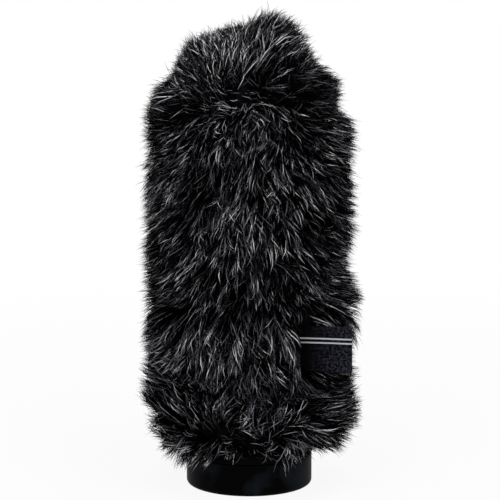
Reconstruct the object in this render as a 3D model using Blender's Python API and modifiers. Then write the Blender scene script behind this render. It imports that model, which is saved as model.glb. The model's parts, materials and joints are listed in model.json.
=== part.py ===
"""A slip-on fur windscreen for a shotgun microphone, standing upright on its rubber base.

Run it with blender --background --python part.py, or from Blender's text editor. Lengths are in
metres, +Z is up, and the origin is the centre of the base's bottom face. The front, where the label
shows, is -Y.

From the inside out: a rubber grip bush holds the microphone's barrel, a foam tube and its domed nose
surround the barrel, a knitted backing of one sleeve and two crown panels is drawn over the foam, and
the fur pile stands on it.
"""

import math

import bmesh
import bpy

MM = 0.001

# ---- driving dimensions --------------------------------------------------------------------------

GAP = 0.3 * MM  # left between pieces that touch

BARREL_RADIUS = 11.0 * MM  # the microphone that slips in
GRIP_SQUEEZE = 0.4 * MM  # how much smaller than the barrel the bush is bored
LIP_HEIGHT = 0.4 * MM  # how far the bush's lips stand into its bore
LIP_COUNT = 3
FOAM_SQUEEZE = 1.0 * MM  # how much smaller than the barrel the foam is bored
BORE_DEPTH = 138.0 * MM  # from the bottom face to where the microphone's tip stops

FOAM_PROUD = 0.4 * MM  # how far the foam stands out past the base's side
PLUG_LENGTH = 7.3 * MM  # of the nose's plug, from the end of the straight tube down to the bore's end
FOAM_CHAMFER = 7.0 * MM  # how far up the foam is pared away above the base
BACKING_THICKNESS = 1.2 * MM
PILE_LENGTH = 12.7 * MM  # how far the brushed-out pile stands off the backing

BASE_RADIUS = 24.9 * MM
BASE_FLOOR = 3.0 * MM
BASE_WALL = 2.0 * MM  # at the waist, the thinnest place
BASE_EDGE = 1.6 * MM  # radius of the rounded bottom edge
WAIST_BOTTOM = 12.6 * MM  # height of the groove that holds the fur's hem
WAIST_WIDTH = 5.3 * MM
WAIST_DEPTH = 2.7 * MM
COLLAR_HEIGHT = 1.1 * MM  # of the collar above the waist

BUSH_ABOVE = 5.0 * MM  # how far the bush stands above the base
BUSH_WALL = 2.8 * MM
BUSH_NECK_WALL = 3.3 * MM
BUSH_FLANGE_THICKNESS = 1.8 * MM
STIFFENER_THICKNESS = 1.4 * MM

TAPE_THICKNESS = 0.6 * MM  # the hem's binding tape
HEM_FOLD_IN = 1.0 * MM  # thickness of the backing's edge inside the tape
ELASTIC_RADIUS = 0.5 * MM
THREAD_RADIUS = 0.25 * MM
STITCH_LENGTH = 3.0 * MM
STITCH_WIDTH = 2.4 * MM

SEAM_ANGLE = math.radians(-54.0)  # of the side seam, from +X towards the front
SEAM_SLIT = 0.6 * MM  # between the butted edges of the sleeve

LABEL_LENGTH = 23.5 * MM
LABEL_HEIGHT = 18.0 * MM
LABEL_THICKNESS = 1.2 * MM
LABEL_MIDDLE = 59.4 * MM  # height of its middle
LABEL_ANGLE = math.radians(-8.0)  # of the label at rest, from +X towards the back
LABEL_BACK = math.radians(6.0)  # how far it presses into the pile
LABEL_STITCH_IN = 3.0 * MM  # from its sewn edge to the line of stitches
LABEL_CLEAR = 0.8 * MM  # between the label and the parted pile, above and below it
PARTING_FRONT = math.radians(-72.0)  # direction of the parting's nearer side, from +X towards the front

PILE_CURVE_IN = 1.0 * MM  # where the lower curve's control point lies, inwards from the pile's side
PILE_CURVE_RISE = 7.5 * MM  # and above the fringe's lower end
FRINGE_DROP = 3.6 * MM  # how far the fringe hangs below the waist
FRINGE_LIP = 2.0 * MM  # thickness of the pile's lower end
FRINGE_CLEAR = 0.9 * MM  # between the fringe and the side of the base

TURN_STEPS = 48
ARC_STEPS = 10

# ---- sizes that follow ---------------------------------------------------------------------------

FOAM_BORE = BARREL_RADIUS - FOAM_SQUEEZE
BUSH_BORE = BARREL_RADIUS - GRIP_SQUEEZE
BUSH_OUTSIDE = BUSH_BORE + BUSH_WALL
BUSH_NECK = BUSH_BORE + BUSH_NECK_WALL
SHOULDER_HEIGHT = BORE_DEPTH + PLUG_LENGTH - GAP  # where the straight tube ends and the dome begins
DOME_HEIGHT = SHOULDER_HEIGHT + GAP  # of the centre of the dome's rounded pieces
WAIST_TOP = WAIST_BOTTOM + WAIST_WIDTH
BASE_HEIGHT = WAIST_TOP + COLLAR_HEIGHT
BUSH_TOP = BASE_HEIGHT + BUSH_ABOVE
FOAM_RADIUS = BASE_RADIUS + FOAM_PROUD
WAIST_RADIUS = BASE_RADIUS - WAIST_DEPTH
BASE_INSIDE = WAIST_RADIUS - BASE_WALL
STIFFENER_OUTSIDE = BASE_INSIDE - GAP
STIFFENER_INSIDE = STIFFENER_OUTSIDE - STIFFENER_THICKNESS
SPIGOT_RADIUS = STIFFENER_INSIDE - GAP  # of the foam's lower end and of the bush's flange
FLANGE_BOTTOM = BASE_FLOOR + GAP
FLANGE_TOP = FLANGE_BOTTOM + BUSH_FLANGE_THICKNESS
FOAM_SHOULDER = BASE_HEIGHT + GAP
FOAM_FULL = FOAM_SHOULDER + FOAM_CHAMFER  # where the foam and the fur reach their full width
BACKING_INSIDE = FOAM_RADIUS + 2 * (GAP + THREAD_RADIUS)
BACKING_OUTSIDE = BACKING_INSIDE + BACKING_THICKNESS
PILE_INSIDE = BACKING_OUTSIDE + GAP
PILE_OUTSIDE = PILE_INSIDE + PILE_LENGTH
THREAD_LINE = (FOAM_RADIUS + BACKING_INSIDE) / 2

TAPE_INSIDE = WAIST_RADIUS + GAP
TAPE_BOTTOM = WAIST_BOTTOM + GAP
TAPE_TOP = WAIST_TOP - GAP
HEM_INSIDE = TAPE_INSIDE + TAPE_THICKNESS + GAP
HEM_OUTSIDE = HEM_INSIDE + HEM_FOLD_IN
COLLAR_RADIUS = HEM_INSIDE - GAP  # of the base above the waist and of the foam's lower edge
TAPE_OUTSIDE = HEM_OUTSIDE + GAP + TAPE_THICKNESS
ELASTIC_HEIGHT = TAPE_BOTTOM + TAPE_THICKNESS + GAP + ELASTIC_RADIUS
HEM_BOTTOM = ELASTIC_HEIGHT + ELASTIC_RADIUS + GAP
HEM_THREAD_LINE = TAPE_OUTSIDE + GAP + THREAD_RADIUS
FRINGE_INSIDE = max(BASE_RADIUS, HEM_THREAD_LINE + THREAD_RADIUS) + FRINGE_CLEAR
PILE_BOTTOM = WAIST_BOTTOM - FRINGE_DROP

LABEL_FOOT_RADIUS = BACKING_OUTSIDE + GAP + LABEL_THICKNESS / 2  # of the label's hinge line
LABEL_FOOT = (
    LABEL_FOOT_RADIUS * math.cos(SEAM_ANGLE),
    LABEL_FOOT_RADIUS * math.sin(SEAM_ANGLE),
    LABEL_MIDDLE,
)

# ---- tools ---------------------------------------------------------------------------------------


def clear_scene():
    for obj in list(bpy.data.objects):
        bpy.data.objects.remove(obj)


def new_collection(name):
    collection = bpy.data.collections.new(name)
    bpy.context.scene.collection.children.link(collection)
    return collection


def material(name, colour, roughness, metallic=0.0):
    """A Principled BSDF of one linear colour."""
    made = bpy.data.materials.new(name)
    made.use_nodes = True
    shader = made.node_tree.nodes["Principled BSDF"]
    shader.inputs["Base Color"].default_value = (*colour, 1.0)
    shader.inputs["Roughness"].default_value = roughness
    shader.inputs["Metallic"].default_value = metallic
    made.diffuse_color = (*colour, 1.0)
    return made


def place(name, data, collection, finish=None):
    obj = bpy.data.objects.new(name, data)
    collection.objects.link(obj)
    if finish is not None:
        data.materials.append(finish)
    return obj


def arc(radius, middle, start, end, steps=ARC_STEPS):
    """Points of a circular arc about middle, from start to end in degrees, 0 being outwards and 90 up."""
    angles = [math.radians(start + (end - start) * i / steps) for i in range(steps + 1)]
    return [(middle[0] + radius * math.cos(a), middle[1] + radius * math.sin(a)) for a in angles]


def quarter(radius):
    """Points of a quarter circle about the origin, from the axis down to the rim."""
    return [(0.0, radius), *arc(radius, (0.0, 0.0), 90, 0)[1:]]


def quadratic(start, control, end, t):
    """The point of a quadratic Bezier curve at t."""
    weights = ((1 - t) ** 2, 2 * t * (1 - t), t**2)
    return tuple(sum(w * p[k] for w, p in zip(weights, (start, control, end))) for k in (0, 1))


def turned(name, profile, collection, finish=None, closed=True):
    """A solid of revolution about Z. Its (radius, height) profile runs down the outer side and up the inner.

    A profile that starts and ends on the axis is left open.
    """
    mesh = bpy.data.meshes.new(name)
    edges = [(i, i + 1) for i in range(len(profile) - 1)]
    if closed:
        edges.append((len(profile) - 1, 0))
    mesh.from_pydata([(radius, 0.0, height) for radius, height in profile], edges, [])
    obj = place(name, mesh, collection, finish)
    turn = obj.modifiers.new("turn", "SCREW")
    turn.steps = TURN_STEPS
    turn.render_steps = TURN_STEPS
    turn.use_merge_vertices = True
    turn.merge_threshold = 0.00001
    turn.use_smooth_shade = True
    return obj


def prism(name, outline, bottom, top, collection, finish=None):
    """An upright prism on a flat outline of (x, y) points, drawn anticlockwise."""
    builder = bmesh.new()
    face = builder.faces.new([builder.verts.new((x, y, bottom)) for x, y in outline])
    raised = bmesh.ops.extrude_face_region(builder, geom=[face])["geom"]
    lifted = [v for v in raised if isinstance(v, bmesh.types.BMVert)]
    bmesh.ops.translate(builder, verts=lifted, vec=(0.0, 0.0, top - bottom))
    bmesh.ops.recalc_face_normals(builder, faces=builder.faces)
    mesh = bpy.data.meshes.new(name)
    builder.to_mesh(mesh)
    builder.free()
    return place(name, mesh, collection, finish)


def as_cutter(obj):
    obj.hide_render = True
    obj.display_type = "WIRE"
    return obj


def cut(obj, cutter):
    hole = obj.modifiers.new("cut_" + cutter.name, "BOOLEAN")
    hole.operation = "DIFFERENCE"
    hole.object = cutter
    hole.solver = "EXACT"


def thread(name, points, collection, finish, cyclic=False, radius=THREAD_RADIUS):
    """A thread or cord of round section through points, as a bevelled poly curve."""
    curve = bpy.data.curves.new(name, "CURVE")
    curve.dimensions = "3D"
    curve.bevel_depth = radius
    curve.bevel_resolution = 1
    curve.use_fill_caps = not cyclic
    spline = curve.splines.new("POLY")
    spline.points.add(len(points) - 1)
    for point, place_at in zip(spline.points, points):
        point.co = (*place_at, 1.0)
    spline.use_cyclic_u = cyclic
    return place(name, curve, collection, finish)


def angles_of_turn(start, turn, steps=6):
    """Angles spaced evenly along a turn, anticlockwise from start."""
    return [start + turn * i / steps for i in range(steps + 1)]


def turned_about(point, angle):
    """An (x, y) point turned about the origin, anticlockwise seen from above."""
    x, y = point
    return (math.cos(angle) * x - math.sin(angle) * y, math.sin(angle) * x + math.cos(angle) * y)


def ring_of_stitches(radius, height, width):
    """Points of a zigzag round a seam: each stitch crosses from half the width below it to half above."""
    count = 2 * round(math.pi * radius / STITCH_LENGTH)
    points = []
    for i in range(count):
        angle = math.tau * i / count
        side = width / 2 if i % 2 else -width / 2
        points.append((radius * math.cos(angle), radius * math.sin(angle), height + side))
    return points


# ---- the pieces ----------------------------------------------------------------------------------


def base_cup(parts, finish):
    """The moulded rubber base: a cup with a rounded foot, a waist for the fur's hem and a hole for the bush."""
    foot = arc(BASE_EDGE, (BASE_RADIUS - BASE_EDGE, BASE_EDGE), 0, -90, 5)
    hole = BUSH_NECK + GAP
    profile = [
        (COLLAR_RADIUS, BASE_HEIGHT),
        (COLLAR_RADIUS, WAIST_TOP),
        (WAIST_RADIUS, WAIST_TOP),
        (WAIST_RADIUS, WAIST_BOTTOM),
        (BASE_RADIUS, WAIST_BOTTOM),
        *foot,
        (hole, 0.0),
        (hole, BASE_FLOOR),
        (BASE_INSIDE, BASE_FLOOR),
        (BASE_INSIDE, BASE_HEIGHT),
    ]
    return turned("base_cup", profile, parts, finish)


def stiffener_ring(parts, finish):
    """A thin plastic ring inside the cup's wall, which the elastic hem would otherwise pull out of round."""
    profile = [
        (STIFFENER_OUTSIDE, BASE_HEIGHT - GAP),
        (STIFFENER_OUTSIDE, FLANGE_BOTTOM),
        (STIFFENER_INSIDE, FLANGE_BOTTOM),
        (STIFFENER_INSIDE, BASE_HEIGHT - GAP),
    ]
    return turned("stiffener_ring", profile, parts, finish)


def grip_bush(parts, finish):
    """A soft rubber bush: a neck through the base's floor, a flange on it, and lips that grip the barrel."""
    bore = [(BUSH_BORE, GAP)]
    pitch = (BUSH_TOP - GAP) / (LIP_COUNT + 1)
    for i in range(LIP_COUNT):
        height = GAP + pitch * (i + 1)
        bore += [
            (BUSH_BORE, height - 2 * LIP_HEIGHT),
            (BUSH_BORE - LIP_HEIGHT, height - LIP_HEIGHT / 2),
            (BUSH_BORE - LIP_HEIGHT, height + LIP_HEIGHT / 2),
            (BUSH_BORE, height + 2 * LIP_HEIGHT),
        ]
    profile = [
        (BUSH_OUTSIDE, BUSH_TOP),
        (BUSH_OUTSIDE, FLANGE_TOP),
        (SPIGOT_RADIUS, FLANGE_TOP),
        (SPIGOT_RADIUS, FLANGE_BOTTOM),
        (BUSH_NECK, FLANGE_BOTTOM),
        (BUSH_NECK, GAP),
        *bore,
        (BUSH_BORE, BUSH_TOP),
    ]
    return turned("grip_bush", profile, parts, finish)


def foam_tube(parts, finish):
    """Open-cell foam round the barrel, with a spigot in the base and a counterbore over the bush."""
    counterbore = BUSH_OUTSIDE + GAP
    profile = [
        (FOAM_RADIUS, SHOULDER_HEIGHT),
        (FOAM_RADIUS, FOAM_FULL),
        (COLLAR_RADIUS, FOAM_SHOULDER),
        (SPIGOT_RADIUS, FOAM_SHOULDER),
        (SPIGOT_RADIUS, FLANGE_TOP + GAP),
        (counterbore, FLANGE_TOP + GAP),
        (counterbore, BUSH_TOP + GAP),
        (FOAM_BORE, BUSH_TOP + GAP),
        (FOAM_BORE, SHOULDER_HEIGHT),
    ]
    return turned("foam_tube", profile, parts, finish)


def foam_nose(parts, finish):
    """The foam's domed end, whose plug closes the bore and stops the microphone's tip."""
    plug = FOAM_BORE - GAP
    profile = [*quarter(FOAM_RADIUS), (plug, 0.0), (plug, -PLUG_LENGTH), (0.0, -PLUG_LENGTH)]
    nose = turned("foam_nose", profile, parts, finish, closed=False)
    nose.location.z = DOME_HEIGHT
    return nose


def sleeve_profile():
    """The backing sleeve's section: straight along the foam, then drawn in to the hem."""
    above_waist = WAIST_TOP + GAP
    return [
        (BACKING_OUTSIDE, SHOULDER_HEIGHT),
        (BACKING_OUTSIDE, FOAM_FULL),
        (HEM_OUTSIDE, above_waist),
        (HEM_OUTSIDE, HEM_BOTTOM),
        (HEM_INSIDE, HEM_BOTTOM),
        (HEM_INSIDE, above_waist),
        (BACKING_INSIDE, FOAM_FULL + 2 * GAP),
        (BACKING_INSIDE, SHOULDER_HEIGHT),
    ]


def backing_sleeve(parts, cutters, finish):
    """The knitted backing of the body panel, wrapped round the foam until its edges butt at the side seam."""
    sleeve = turned("backing_sleeve", sleeve_profile(), parts, finish)
    reach = 2 * BACKING_OUTSIDE
    corners = [(0.0, -SEAM_SLIT / 2), (reach, -SEAM_SLIT / 2), (reach, SEAM_SLIT / 2), (0.0, SEAM_SLIT / 2)]
    outline = [turned_about(corner, SEAM_ANGLE) for corner in corners]
    slit = as_cutter(prism("seam_slit", outline, 0.0, SHOULDER_HEIGHT + BACKING_THICKNESS, cutters))
    cut(sleeve, slit)
    return sleeve


def half_dome(name, inside, outside, side, parts, cutters, finish):
    """Half of a domed shell of even thickness: the half towards +X where side is 1, and -X where it is -1.

    Its flat face stands half a gap off the middle.
    """
    profile = [*quarter(outside), *reversed(quarter(inside))]
    half = turned(name, profile, parts, finish, closed=False)
    half.location.z = DOME_HEIGHT
    far = 2 * outside
    low, high = sorted((side * GAP / 2, -side * far))
    box = [(low, -far), (high, -far), (high, far), (low, far)]
    cut(half, as_cutter(prism("other_half_of_" + name, box, 0.0, DOME_HEIGHT + far, cutters)))
    return half


def crown_panels(parts, cutters, finish):
    """The two quarter-round panels of backing that close the dome, joined by a seam from front to back."""
    for name, side in (("crown_panel_left", -1), ("crown_panel_right", 1)):
        half_dome(name, BACKING_INSIDE, BACKING_OUTSIDE, side, parts, cutters, finish)


def seam_threads(parts, finish):
    """Overcast stitches on the inner side of the backing, along the side seam, round the crown and over it."""
    low = FOAM_FULL + STITCH_LENGTH
    high = SHOULDER_HEIGHT - STITCH_WIDTH
    swing = STITCH_WIDTH / 2 / THREAD_LINE
    count = 2 * round((high - low) / STITCH_LENGTH)
    side = []
    for i in range(count + 1):
        angle = SEAM_ANGLE + (swing if i % 2 else -swing)
        height = low + (high - low) * i / count
        side.append((THREAD_LINE * math.cos(angle), THREAD_LINE * math.sin(angle), height))
    thread("side_seam_thread", side, parts, finish)

    ring = ring_of_stitches(THREAD_LINE, SHOULDER_HEIGHT, STITCH_WIDTH / 2)
    thread("crown_ring_thread", ring, parts, finish, cyclic=True)

    over = []
    start = (STITCH_WIDTH + THREAD_RADIUS) / THREAD_LINE
    count = 2 * round((math.pi - 2 * start) * THREAD_LINE / STITCH_LENGTH)
    for i in range(count + 1):
        angle = start + (math.pi - 2 * start) * i / count
        across = STITCH_WIDTH / 2 if i % 2 else -STITCH_WIDTH / 2
        over.append((across, -THREAD_LINE * math.cos(angle), DOME_HEIGHT + THREAD_LINE * math.sin(angle)))
    thread("crown_top_thread", over, parts, finish)


def hem_band(parts, finish):
    """Binding tape folded up round the sleeve's lower edge, lying in the base's waist."""
    profile = [
        (TAPE_OUTSIDE, TAPE_TOP),
        (TAPE_OUTSIDE, TAPE_BOTTOM),
        (TAPE_INSIDE, TAPE_BOTTOM),
        (TAPE_INSIDE, TAPE_TOP),
        (TAPE_INSIDE + TAPE_THICKNESS, TAPE_TOP),
        (TAPE_INSIDE + TAPE_THICKNESS, TAPE_BOTTOM + TAPE_THICKNESS),
        (TAPE_OUTSIDE - TAPE_THICKNESS, TAPE_BOTTOM + TAPE_THICKNESS),
        (TAPE_OUTSIDE - TAPE_THICKNESS, TAPE_TOP),
    ]
    return turned("hem_band", profile, parts, finish)


def hem_elastic(parts, finish):
    """The round elastic in the fold of the tape, which holds the hem in the waist."""
    middle = (HEM_INSIDE + HEM_OUTSIDE) / 2
    section = arc(ELASTIC_RADIUS, (middle, ELASTIC_HEIGHT), 90, -270, 8)[:-1]
    return turned("hem_elastic", section, parts, finish)


def hem_thread(parts, finish):
    """The stitches that close the tape on the sleeve's edge, on the tape's outer side."""
    middle = (TAPE_TOP + HEM_BOTTOM) / 2
    width = (TAPE_TOP - HEM_BOTTOM) / 2
    points = ring_of_stitches(HEM_THREAD_LINE, middle, width)
    return thread("hem_thread", points, parts, finish, cyclic=True)


def label_tag(parts, finish):
    """The woven label, a strip folded double: rounded at its sewn edge, where it swings, and at its fold."""
    half = LABEL_THICKNESS / 2
    foot = [(half * math.cos(a), half * math.sin(a)) for a in angles_of_turn(math.pi / 2, math.pi)]
    fold = [
        (LABEL_LENGTH - half + half * math.cos(a), half * math.sin(a))
        for a in angles_of_turn(-math.pi / 2, math.pi)
    ]
    return prism("label_tag", [*foot, *fold], -LABEL_HEIGHT / 2, LABEL_HEIGHT / 2, parts, finish)


def label_thread(parts, finish):
    """The line of stitches through the label beside its sewn edge, on its front."""
    front = -(LABEL_THICKNESS / 2 + GAP + THREAD_RADIUS)
    reach = LABEL_HEIGHT / 2 - 2 * THREAD_RADIUS - GAP
    count = 2 * round(2 * reach / STITCH_LENGTH)
    points = []
    for i in range(count + 1):
        along = LABEL_STITCH_IN + (STITCH_WIDTH / 4 if i % 2 else -STITCH_WIDTH / 4)
        points.append((along, front, reach * (2 * i / count - 1)))
    return thread("label_thread", points, parts, finish)


def label(parts, finish, thread_finish):
    """The label and its stitches, on an empty at the line where the label leaves the seam and swings."""
    hinge = place("label_hinge", None, parts)
    hinge.location = LABEL_FOOT
    hinge.rotation_euler.z = LABEL_ANGLE
    for piece in (label_tag(parts, finish), label_thread(parts, thread_finish)):
        piece.parent = hinge


def label_parting(cutters):
    """The wedge of parted pile that the label stands in and swings through, open to the front."""
    clear = LABEL_THICKNESS / 2 + GAP
    reach = 2 * PILE_OUTSIDE
    back_angle = LABEL_ANGLE + LABEL_BACK
    turn = math.pi - (back_angle - PARTING_FRONT)
    round_foot = angles_of_turn(back_angle + math.pi / 2, turn)
    outline = [
        *[(clear * math.cos(a), clear * math.sin(a)) for a in round_foot],
        turned_about((reach, -clear), PARTING_FRONT),
        turned_about((reach, clear), back_angle),
    ]
    half = LABEL_HEIGHT / 2 + LABEL_CLEAR
    wedge = as_cutter(prism("label_parting", outline, -half, half, cutters))
    wedge.location = LABEL_FOOT
    return wedge


def pile_body(parts, cutters, finish):
    """The pile of the body panel: a thick sleeve of fibre that curves in and hangs below the hem."""
    start = (PILE_OUTSIDE, FOAM_FULL)
    control = (PILE_OUTSIDE - PILE_CURVE_IN, PILE_BOTTOM + PILE_CURVE_RISE)
    end = (FRINGE_INSIDE + FRINGE_LIP, PILE_BOTTOM)
    curve = [quadratic(start, control, end, i / ARC_STEPS) for i in range(ARC_STEPS + 1)]
    profile = [
        (PILE_OUTSIDE, SHOULDER_HEIGHT),
        *curve,
        (FRINGE_INSIDE, PILE_BOTTOM),
        (FRINGE_INSIDE, WAIST_TOP),
        (PILE_INSIDE, FOAM_FULL),
        (PILE_INSIDE, SHOULDER_HEIGHT),
    ]
    pile = turned("pile_body", profile, parts, finish)
    cut(pile, label_parting(cutters))
    return pile


def crown_pile(parts, cutters, finish):
    """The pile of the two crown panels, which parts along the seam between them."""
    for name, side in (("pile_crown_left", -1), ("pile_crown_right", 1)):
        half_dome(name, PILE_INSIDE, PILE_OUTSIDE, side, parts, cutters, finish)


def main():
    clear_scene()
    parts = new_collection("fur_windscreen")
    cutters = new_collection("cutters")

    base_rubber = material("base_rubber", (0.010, 0.011, 0.012), 0.32)
    bush_rubber = material("bush_rubber", (0.016, 0.016, 0.017), 0.6)
    ring_plastic = material("ring_plastic", (0.03, 0.03, 0.03), 0.5)
    foam = material("acoustic_foam", (0.022, 0.022, 0.024), 1.0)
    knit = material("knit_backing", (0.012, 0.012, 0.014), 0.9)
    sewing = material("sewing_thread", (0.02, 0.02, 0.022), 0.7)
    tape = material("binding_tape", (0.015, 0.015, 0.016), 0.8)
    elastic = material("elastic_cord", (0.05, 0.05, 0.05), 0.7)
    woven = material("woven_label", (0.02, 0.02, 0.024), 0.75)
    fur = material("fur_pile", (0.012, 0.012, 0.014), 0.55)

    base_cup(parts, base_rubber)
    stiffener_ring(parts, ring_plastic)
    grip_bush(parts, bush_rubber)
    foam_tube(parts, foam)
    foam_nose(parts, foam)
    backing_sleeve(parts, cutters, knit)
    crown_panels(parts, cutters, knit)
    seam_threads(parts, sewing)
    hem_band(parts, tape)
    hem_elastic(parts, elastic)
    hem_thread(parts, sewing)
    label(parts, woven, sewing)
    pile_body(parts, cutters, fur)
    crown_pile(parts, cutters, fur)


main()
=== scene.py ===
"""The looks of a furry windscreen for a shotgun microphone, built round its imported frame.

Every length is in metres. +Z is up and -Y is the front, where the label shows on the right.
"""

import json
import math

import bpy
import numpy as np
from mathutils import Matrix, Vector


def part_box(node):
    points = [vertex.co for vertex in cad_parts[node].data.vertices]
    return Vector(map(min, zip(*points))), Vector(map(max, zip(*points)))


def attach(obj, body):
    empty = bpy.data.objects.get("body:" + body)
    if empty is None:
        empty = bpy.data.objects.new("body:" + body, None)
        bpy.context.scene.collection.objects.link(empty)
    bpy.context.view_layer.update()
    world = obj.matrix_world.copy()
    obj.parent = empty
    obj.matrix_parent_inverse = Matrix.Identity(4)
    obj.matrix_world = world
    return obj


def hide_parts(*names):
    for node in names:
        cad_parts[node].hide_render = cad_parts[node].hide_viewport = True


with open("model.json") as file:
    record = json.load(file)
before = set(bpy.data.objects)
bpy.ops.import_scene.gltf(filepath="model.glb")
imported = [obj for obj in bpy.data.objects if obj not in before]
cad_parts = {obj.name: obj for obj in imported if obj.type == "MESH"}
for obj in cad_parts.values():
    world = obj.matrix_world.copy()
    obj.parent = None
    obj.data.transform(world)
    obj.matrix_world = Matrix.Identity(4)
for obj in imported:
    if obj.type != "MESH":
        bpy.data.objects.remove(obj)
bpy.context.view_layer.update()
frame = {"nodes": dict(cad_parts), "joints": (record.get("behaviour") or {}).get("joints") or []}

bl_info = {
    "name": "Furry windscreen",
    "version": (1, 0, 0),
    "blender": (4, 5, 0),
    "location": "View3D > Sidebar > Windscreen",
    "description": "Builds the fur, foam, rubber and label of a microphone windscreen round its frame",
    "category": "Add Mesh",
}

MM = 0.001
BODY = "windscreen"  # what the windscreen's pieces ride on, all but the label's
LABEL_BODY = "label"
BAKED_MAP = "OFBake"  # the UV map that the fur's colours are drawn on
THREAD_MAP = "Threads"  # the UV map of a cloth, in metres along and across it

# ---- places and sizes read from the frame --------------------------------------------------------


def low_corner(name):
    """The corner of a piece's box with the least x, y and z."""
    return np.array(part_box(name)[0])


def high_corner(name):
    """The corner of a piece's box with the greatest x, y and z."""
    return np.array(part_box(name)[1])


BASE_RADIUS = high_corner("base_cup")[0]
BASE_HEIGHT = high_corner("base_cup")[2]
TAPE_LOW, TAPE_HIGH = low_corner("hem_band")[2], high_corner("hem_band")[2]
TAPE_OUTSIDE = high_corner("hem_band")[0]
SHOULDER = high_corner("backing_sleeve")[2]  # the height where the straight body ends
DOME = low_corner("crown_panel_left")[2]  # the height of the dome's middle
SKIN_RADIUS = high_corner("crown_panel_right")[0]  # of the knitted backing, where the hairs grow
SKIN_LOW = TAPE_HIGH + 0.6 * MM  # where it leaves the hem's tape
STRAIGHT = SHOULDER - SKIN_LOW  # up the skin, from there to the shoulder
SKIN_LENGTH = STRAIGHT + SKIN_RADIUS * math.pi / 2  # and to the top of the dome
PILE_RADIUS = high_corner("pile_body")[0]
FOAM_RADIUS = high_corner("foam_tube")[0]
FOAM_LOW = low_corner("foam_tube")[2]
NOSE_LOW, NOSE_HIGH = low_corner("foam_nose")[2], high_corner("foam_nose")[2]
BUSH_LOW, BUSH_HIGH = low_corner("grip_bush")[2], high_corner("grip_bush")[2]
SPIGOT_RADIUS = high_corner("grip_bush")[0]
LABEL_LOW, LABEL_HIGH = low_corner("label_tag")[2], high_corner("label_tag")[2]

FLAP = next(j for j in frame["joints"] if j["name"] == "label_flap")
LABEL_FOOT = np.array(FLAP["pos_m"])
SEAM_AZIMUTH = math.atan2(LABEL_FOOT[1], LABEL_FOOT[0])

# ---- numbers shared by the pieces ----------------------------------------------------------------

SKIN_TURN_IN = 26.3 * MM  # height below which the skin draws in towards the hem
SKIN_HEM_RADIUS = 24.8 * MM
HEM_TILT = math.radians(-10)  # of the skin's normal at the hem, from level
PARTING_RISE = 15.0  # mm from the shoulder up to the crown's parting, at the front
PARTING_SLOPE = 0.22  # how far the parting rises towards +X
PARTING_HUMPS = ((-9, 8, 3.0),)  # where it bends up again: x, width and rise (mm)
FAN_MIDDLE = -0.33  # where the crown's hair goes straight up, as a share of the radius from the axis
FAN_RIGHT = 1.3  # how fast the hair turns outwards from there, in radians for a radius
FAN_LEFT = 1.4
# Locks at the dome's outline: angle over the top from -X, width (degrees) and how far they stand out (mm)
LOCKS = (
    (28, 10, -8.0), (43, 7, -3.0), (72, 12, -4.0), (90, 8, -3.0),
    (107, 9, 2.8), (142, 13, -8.5), (173, 9, -7.0),
)
FRINGE_LOCKS = ((-30, 6, 6.2), (-20, 7, 7.0), (16, 6, 10.0))  # x, width and drop (mm) of its long locks
LABEL_AIR = 1.5 * MM  # from the middle of the label to the hairs beside it
PARTING_FADE = 4.5 * MM  # how far above the label the hairs part for it
PARTING_FOOT = 1.6 * MM  # how far below it
FUR_REACH = 46.5 * MM  # no hair stands further from the axis
REACH_EASE = 3.5 * MM  # how far inside that they begin to be held back
MOST_PUSHED = 2.5 * MM  # a hair that would have to move further for the label is left out
PARTING_FRONT = math.radians(-71)  # direction of the parting's nearer side, from +X towards the front

# Where falling hairs part, with painted shade on the hairs along the gap: height, width and strength
GAPS = ((128, 4, 0.35), (78, 4, 0.65))

# The foot of the fur is brushed up. At each x: from which height to which (mm), and how far it is
# turned towards +X (radians)
BRUSHED = (
    (-32, 27, 51, -0.20), (-20, 26, 51, 0.30), (-9, 25, 46, 0.50), (3, 20, 42, 0.45),
    (10, 24, 40, 0.60), (16, 33, 39, 0.90), (25, 23, 46, 1.45),
)
RIDGE = 9.0 * MM  # how far from the band's top the hairs that meet there stand up

# Places on the front where the pile is brushed another way: x, z and radius (mm), and then how much painted
# light (above 0) or painted shade (below 0) the hairs get, how much further they stand, how much more they
# lean and how far they are turned (degrees), and how far they part, with what is 0 at the end of a row left
# out
SWIRLS = (
    (10, 61, 14, 0, 0, 0.4, 20), (-9, 68, 12, 0.5, 0, 0.2), (-2, 140, 17, 0.4),
    (16, 22, 6, 1.6, 0.14, 0.45, -5), (-21, 22, 8, 1.2, 0.12, 0.45, -45), (15, 35, 6, -1.0),
    (4, 22, 6, 0.6, -0.08, 0.15, -45), (-27, 20, 7, 0, 0.05, 0.95, -15), (28, 24, 10, 0, 0.38, -0.15),
    (-29, 27, 8, 0, 0.13), (14, 27, 6, 2.0, 0.22, 0.6, 15), (29, 75, 6, 0.4, 0.28),
    (31, 96, 9, 0, -0.12), (-24, 117, 7, 0.3), (-13, 132, 5, -0.9, 0, 0, 0, 0.8),
    (18, 139, 6, -0.9, 0, 0, 0, 0.8), (15, 158, 6, -0.9, 0, 0, 0, 0.5), (-7, 163, 8, 0.7, 0, 0.2),
    (9, 172, 11, 0.2, 0.05, 0.2, -12), (14, 147, 8, -1.3), (3, 130, 9, 1.0),
    (20, 113, 6, -0.9, 0, 0, 0, 0.3), (19, 100, 6, -0.9, 0, 0, 0, 0.3), (-12, 113, 5, -0.8),
    (-33, 74, 8, -1.0), (-12, 74, 5, 1.0), (-8, 18, 5, 1.5), (23, 166, 9, 1.2),
)
CROWN_GAP = 0.15 * MM  # from the crown's middle to the edge of each of its two panels
TUFT_SHIFT = 0.5 * MM  # how far a tuft stands from its even place, each way
GOLDEN_ANGLE = math.pi * (3 - math.sqrt(5))
FRONT_SIDE = 5 * MM  # fur with a lower y than this counts as the front's
HEM_ZONE = 12 * MM  # how far up from the hem the pile is flattened by it
FRINGE_TOP = 45 * MM  # hairs that start below this height end in the fringe
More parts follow.
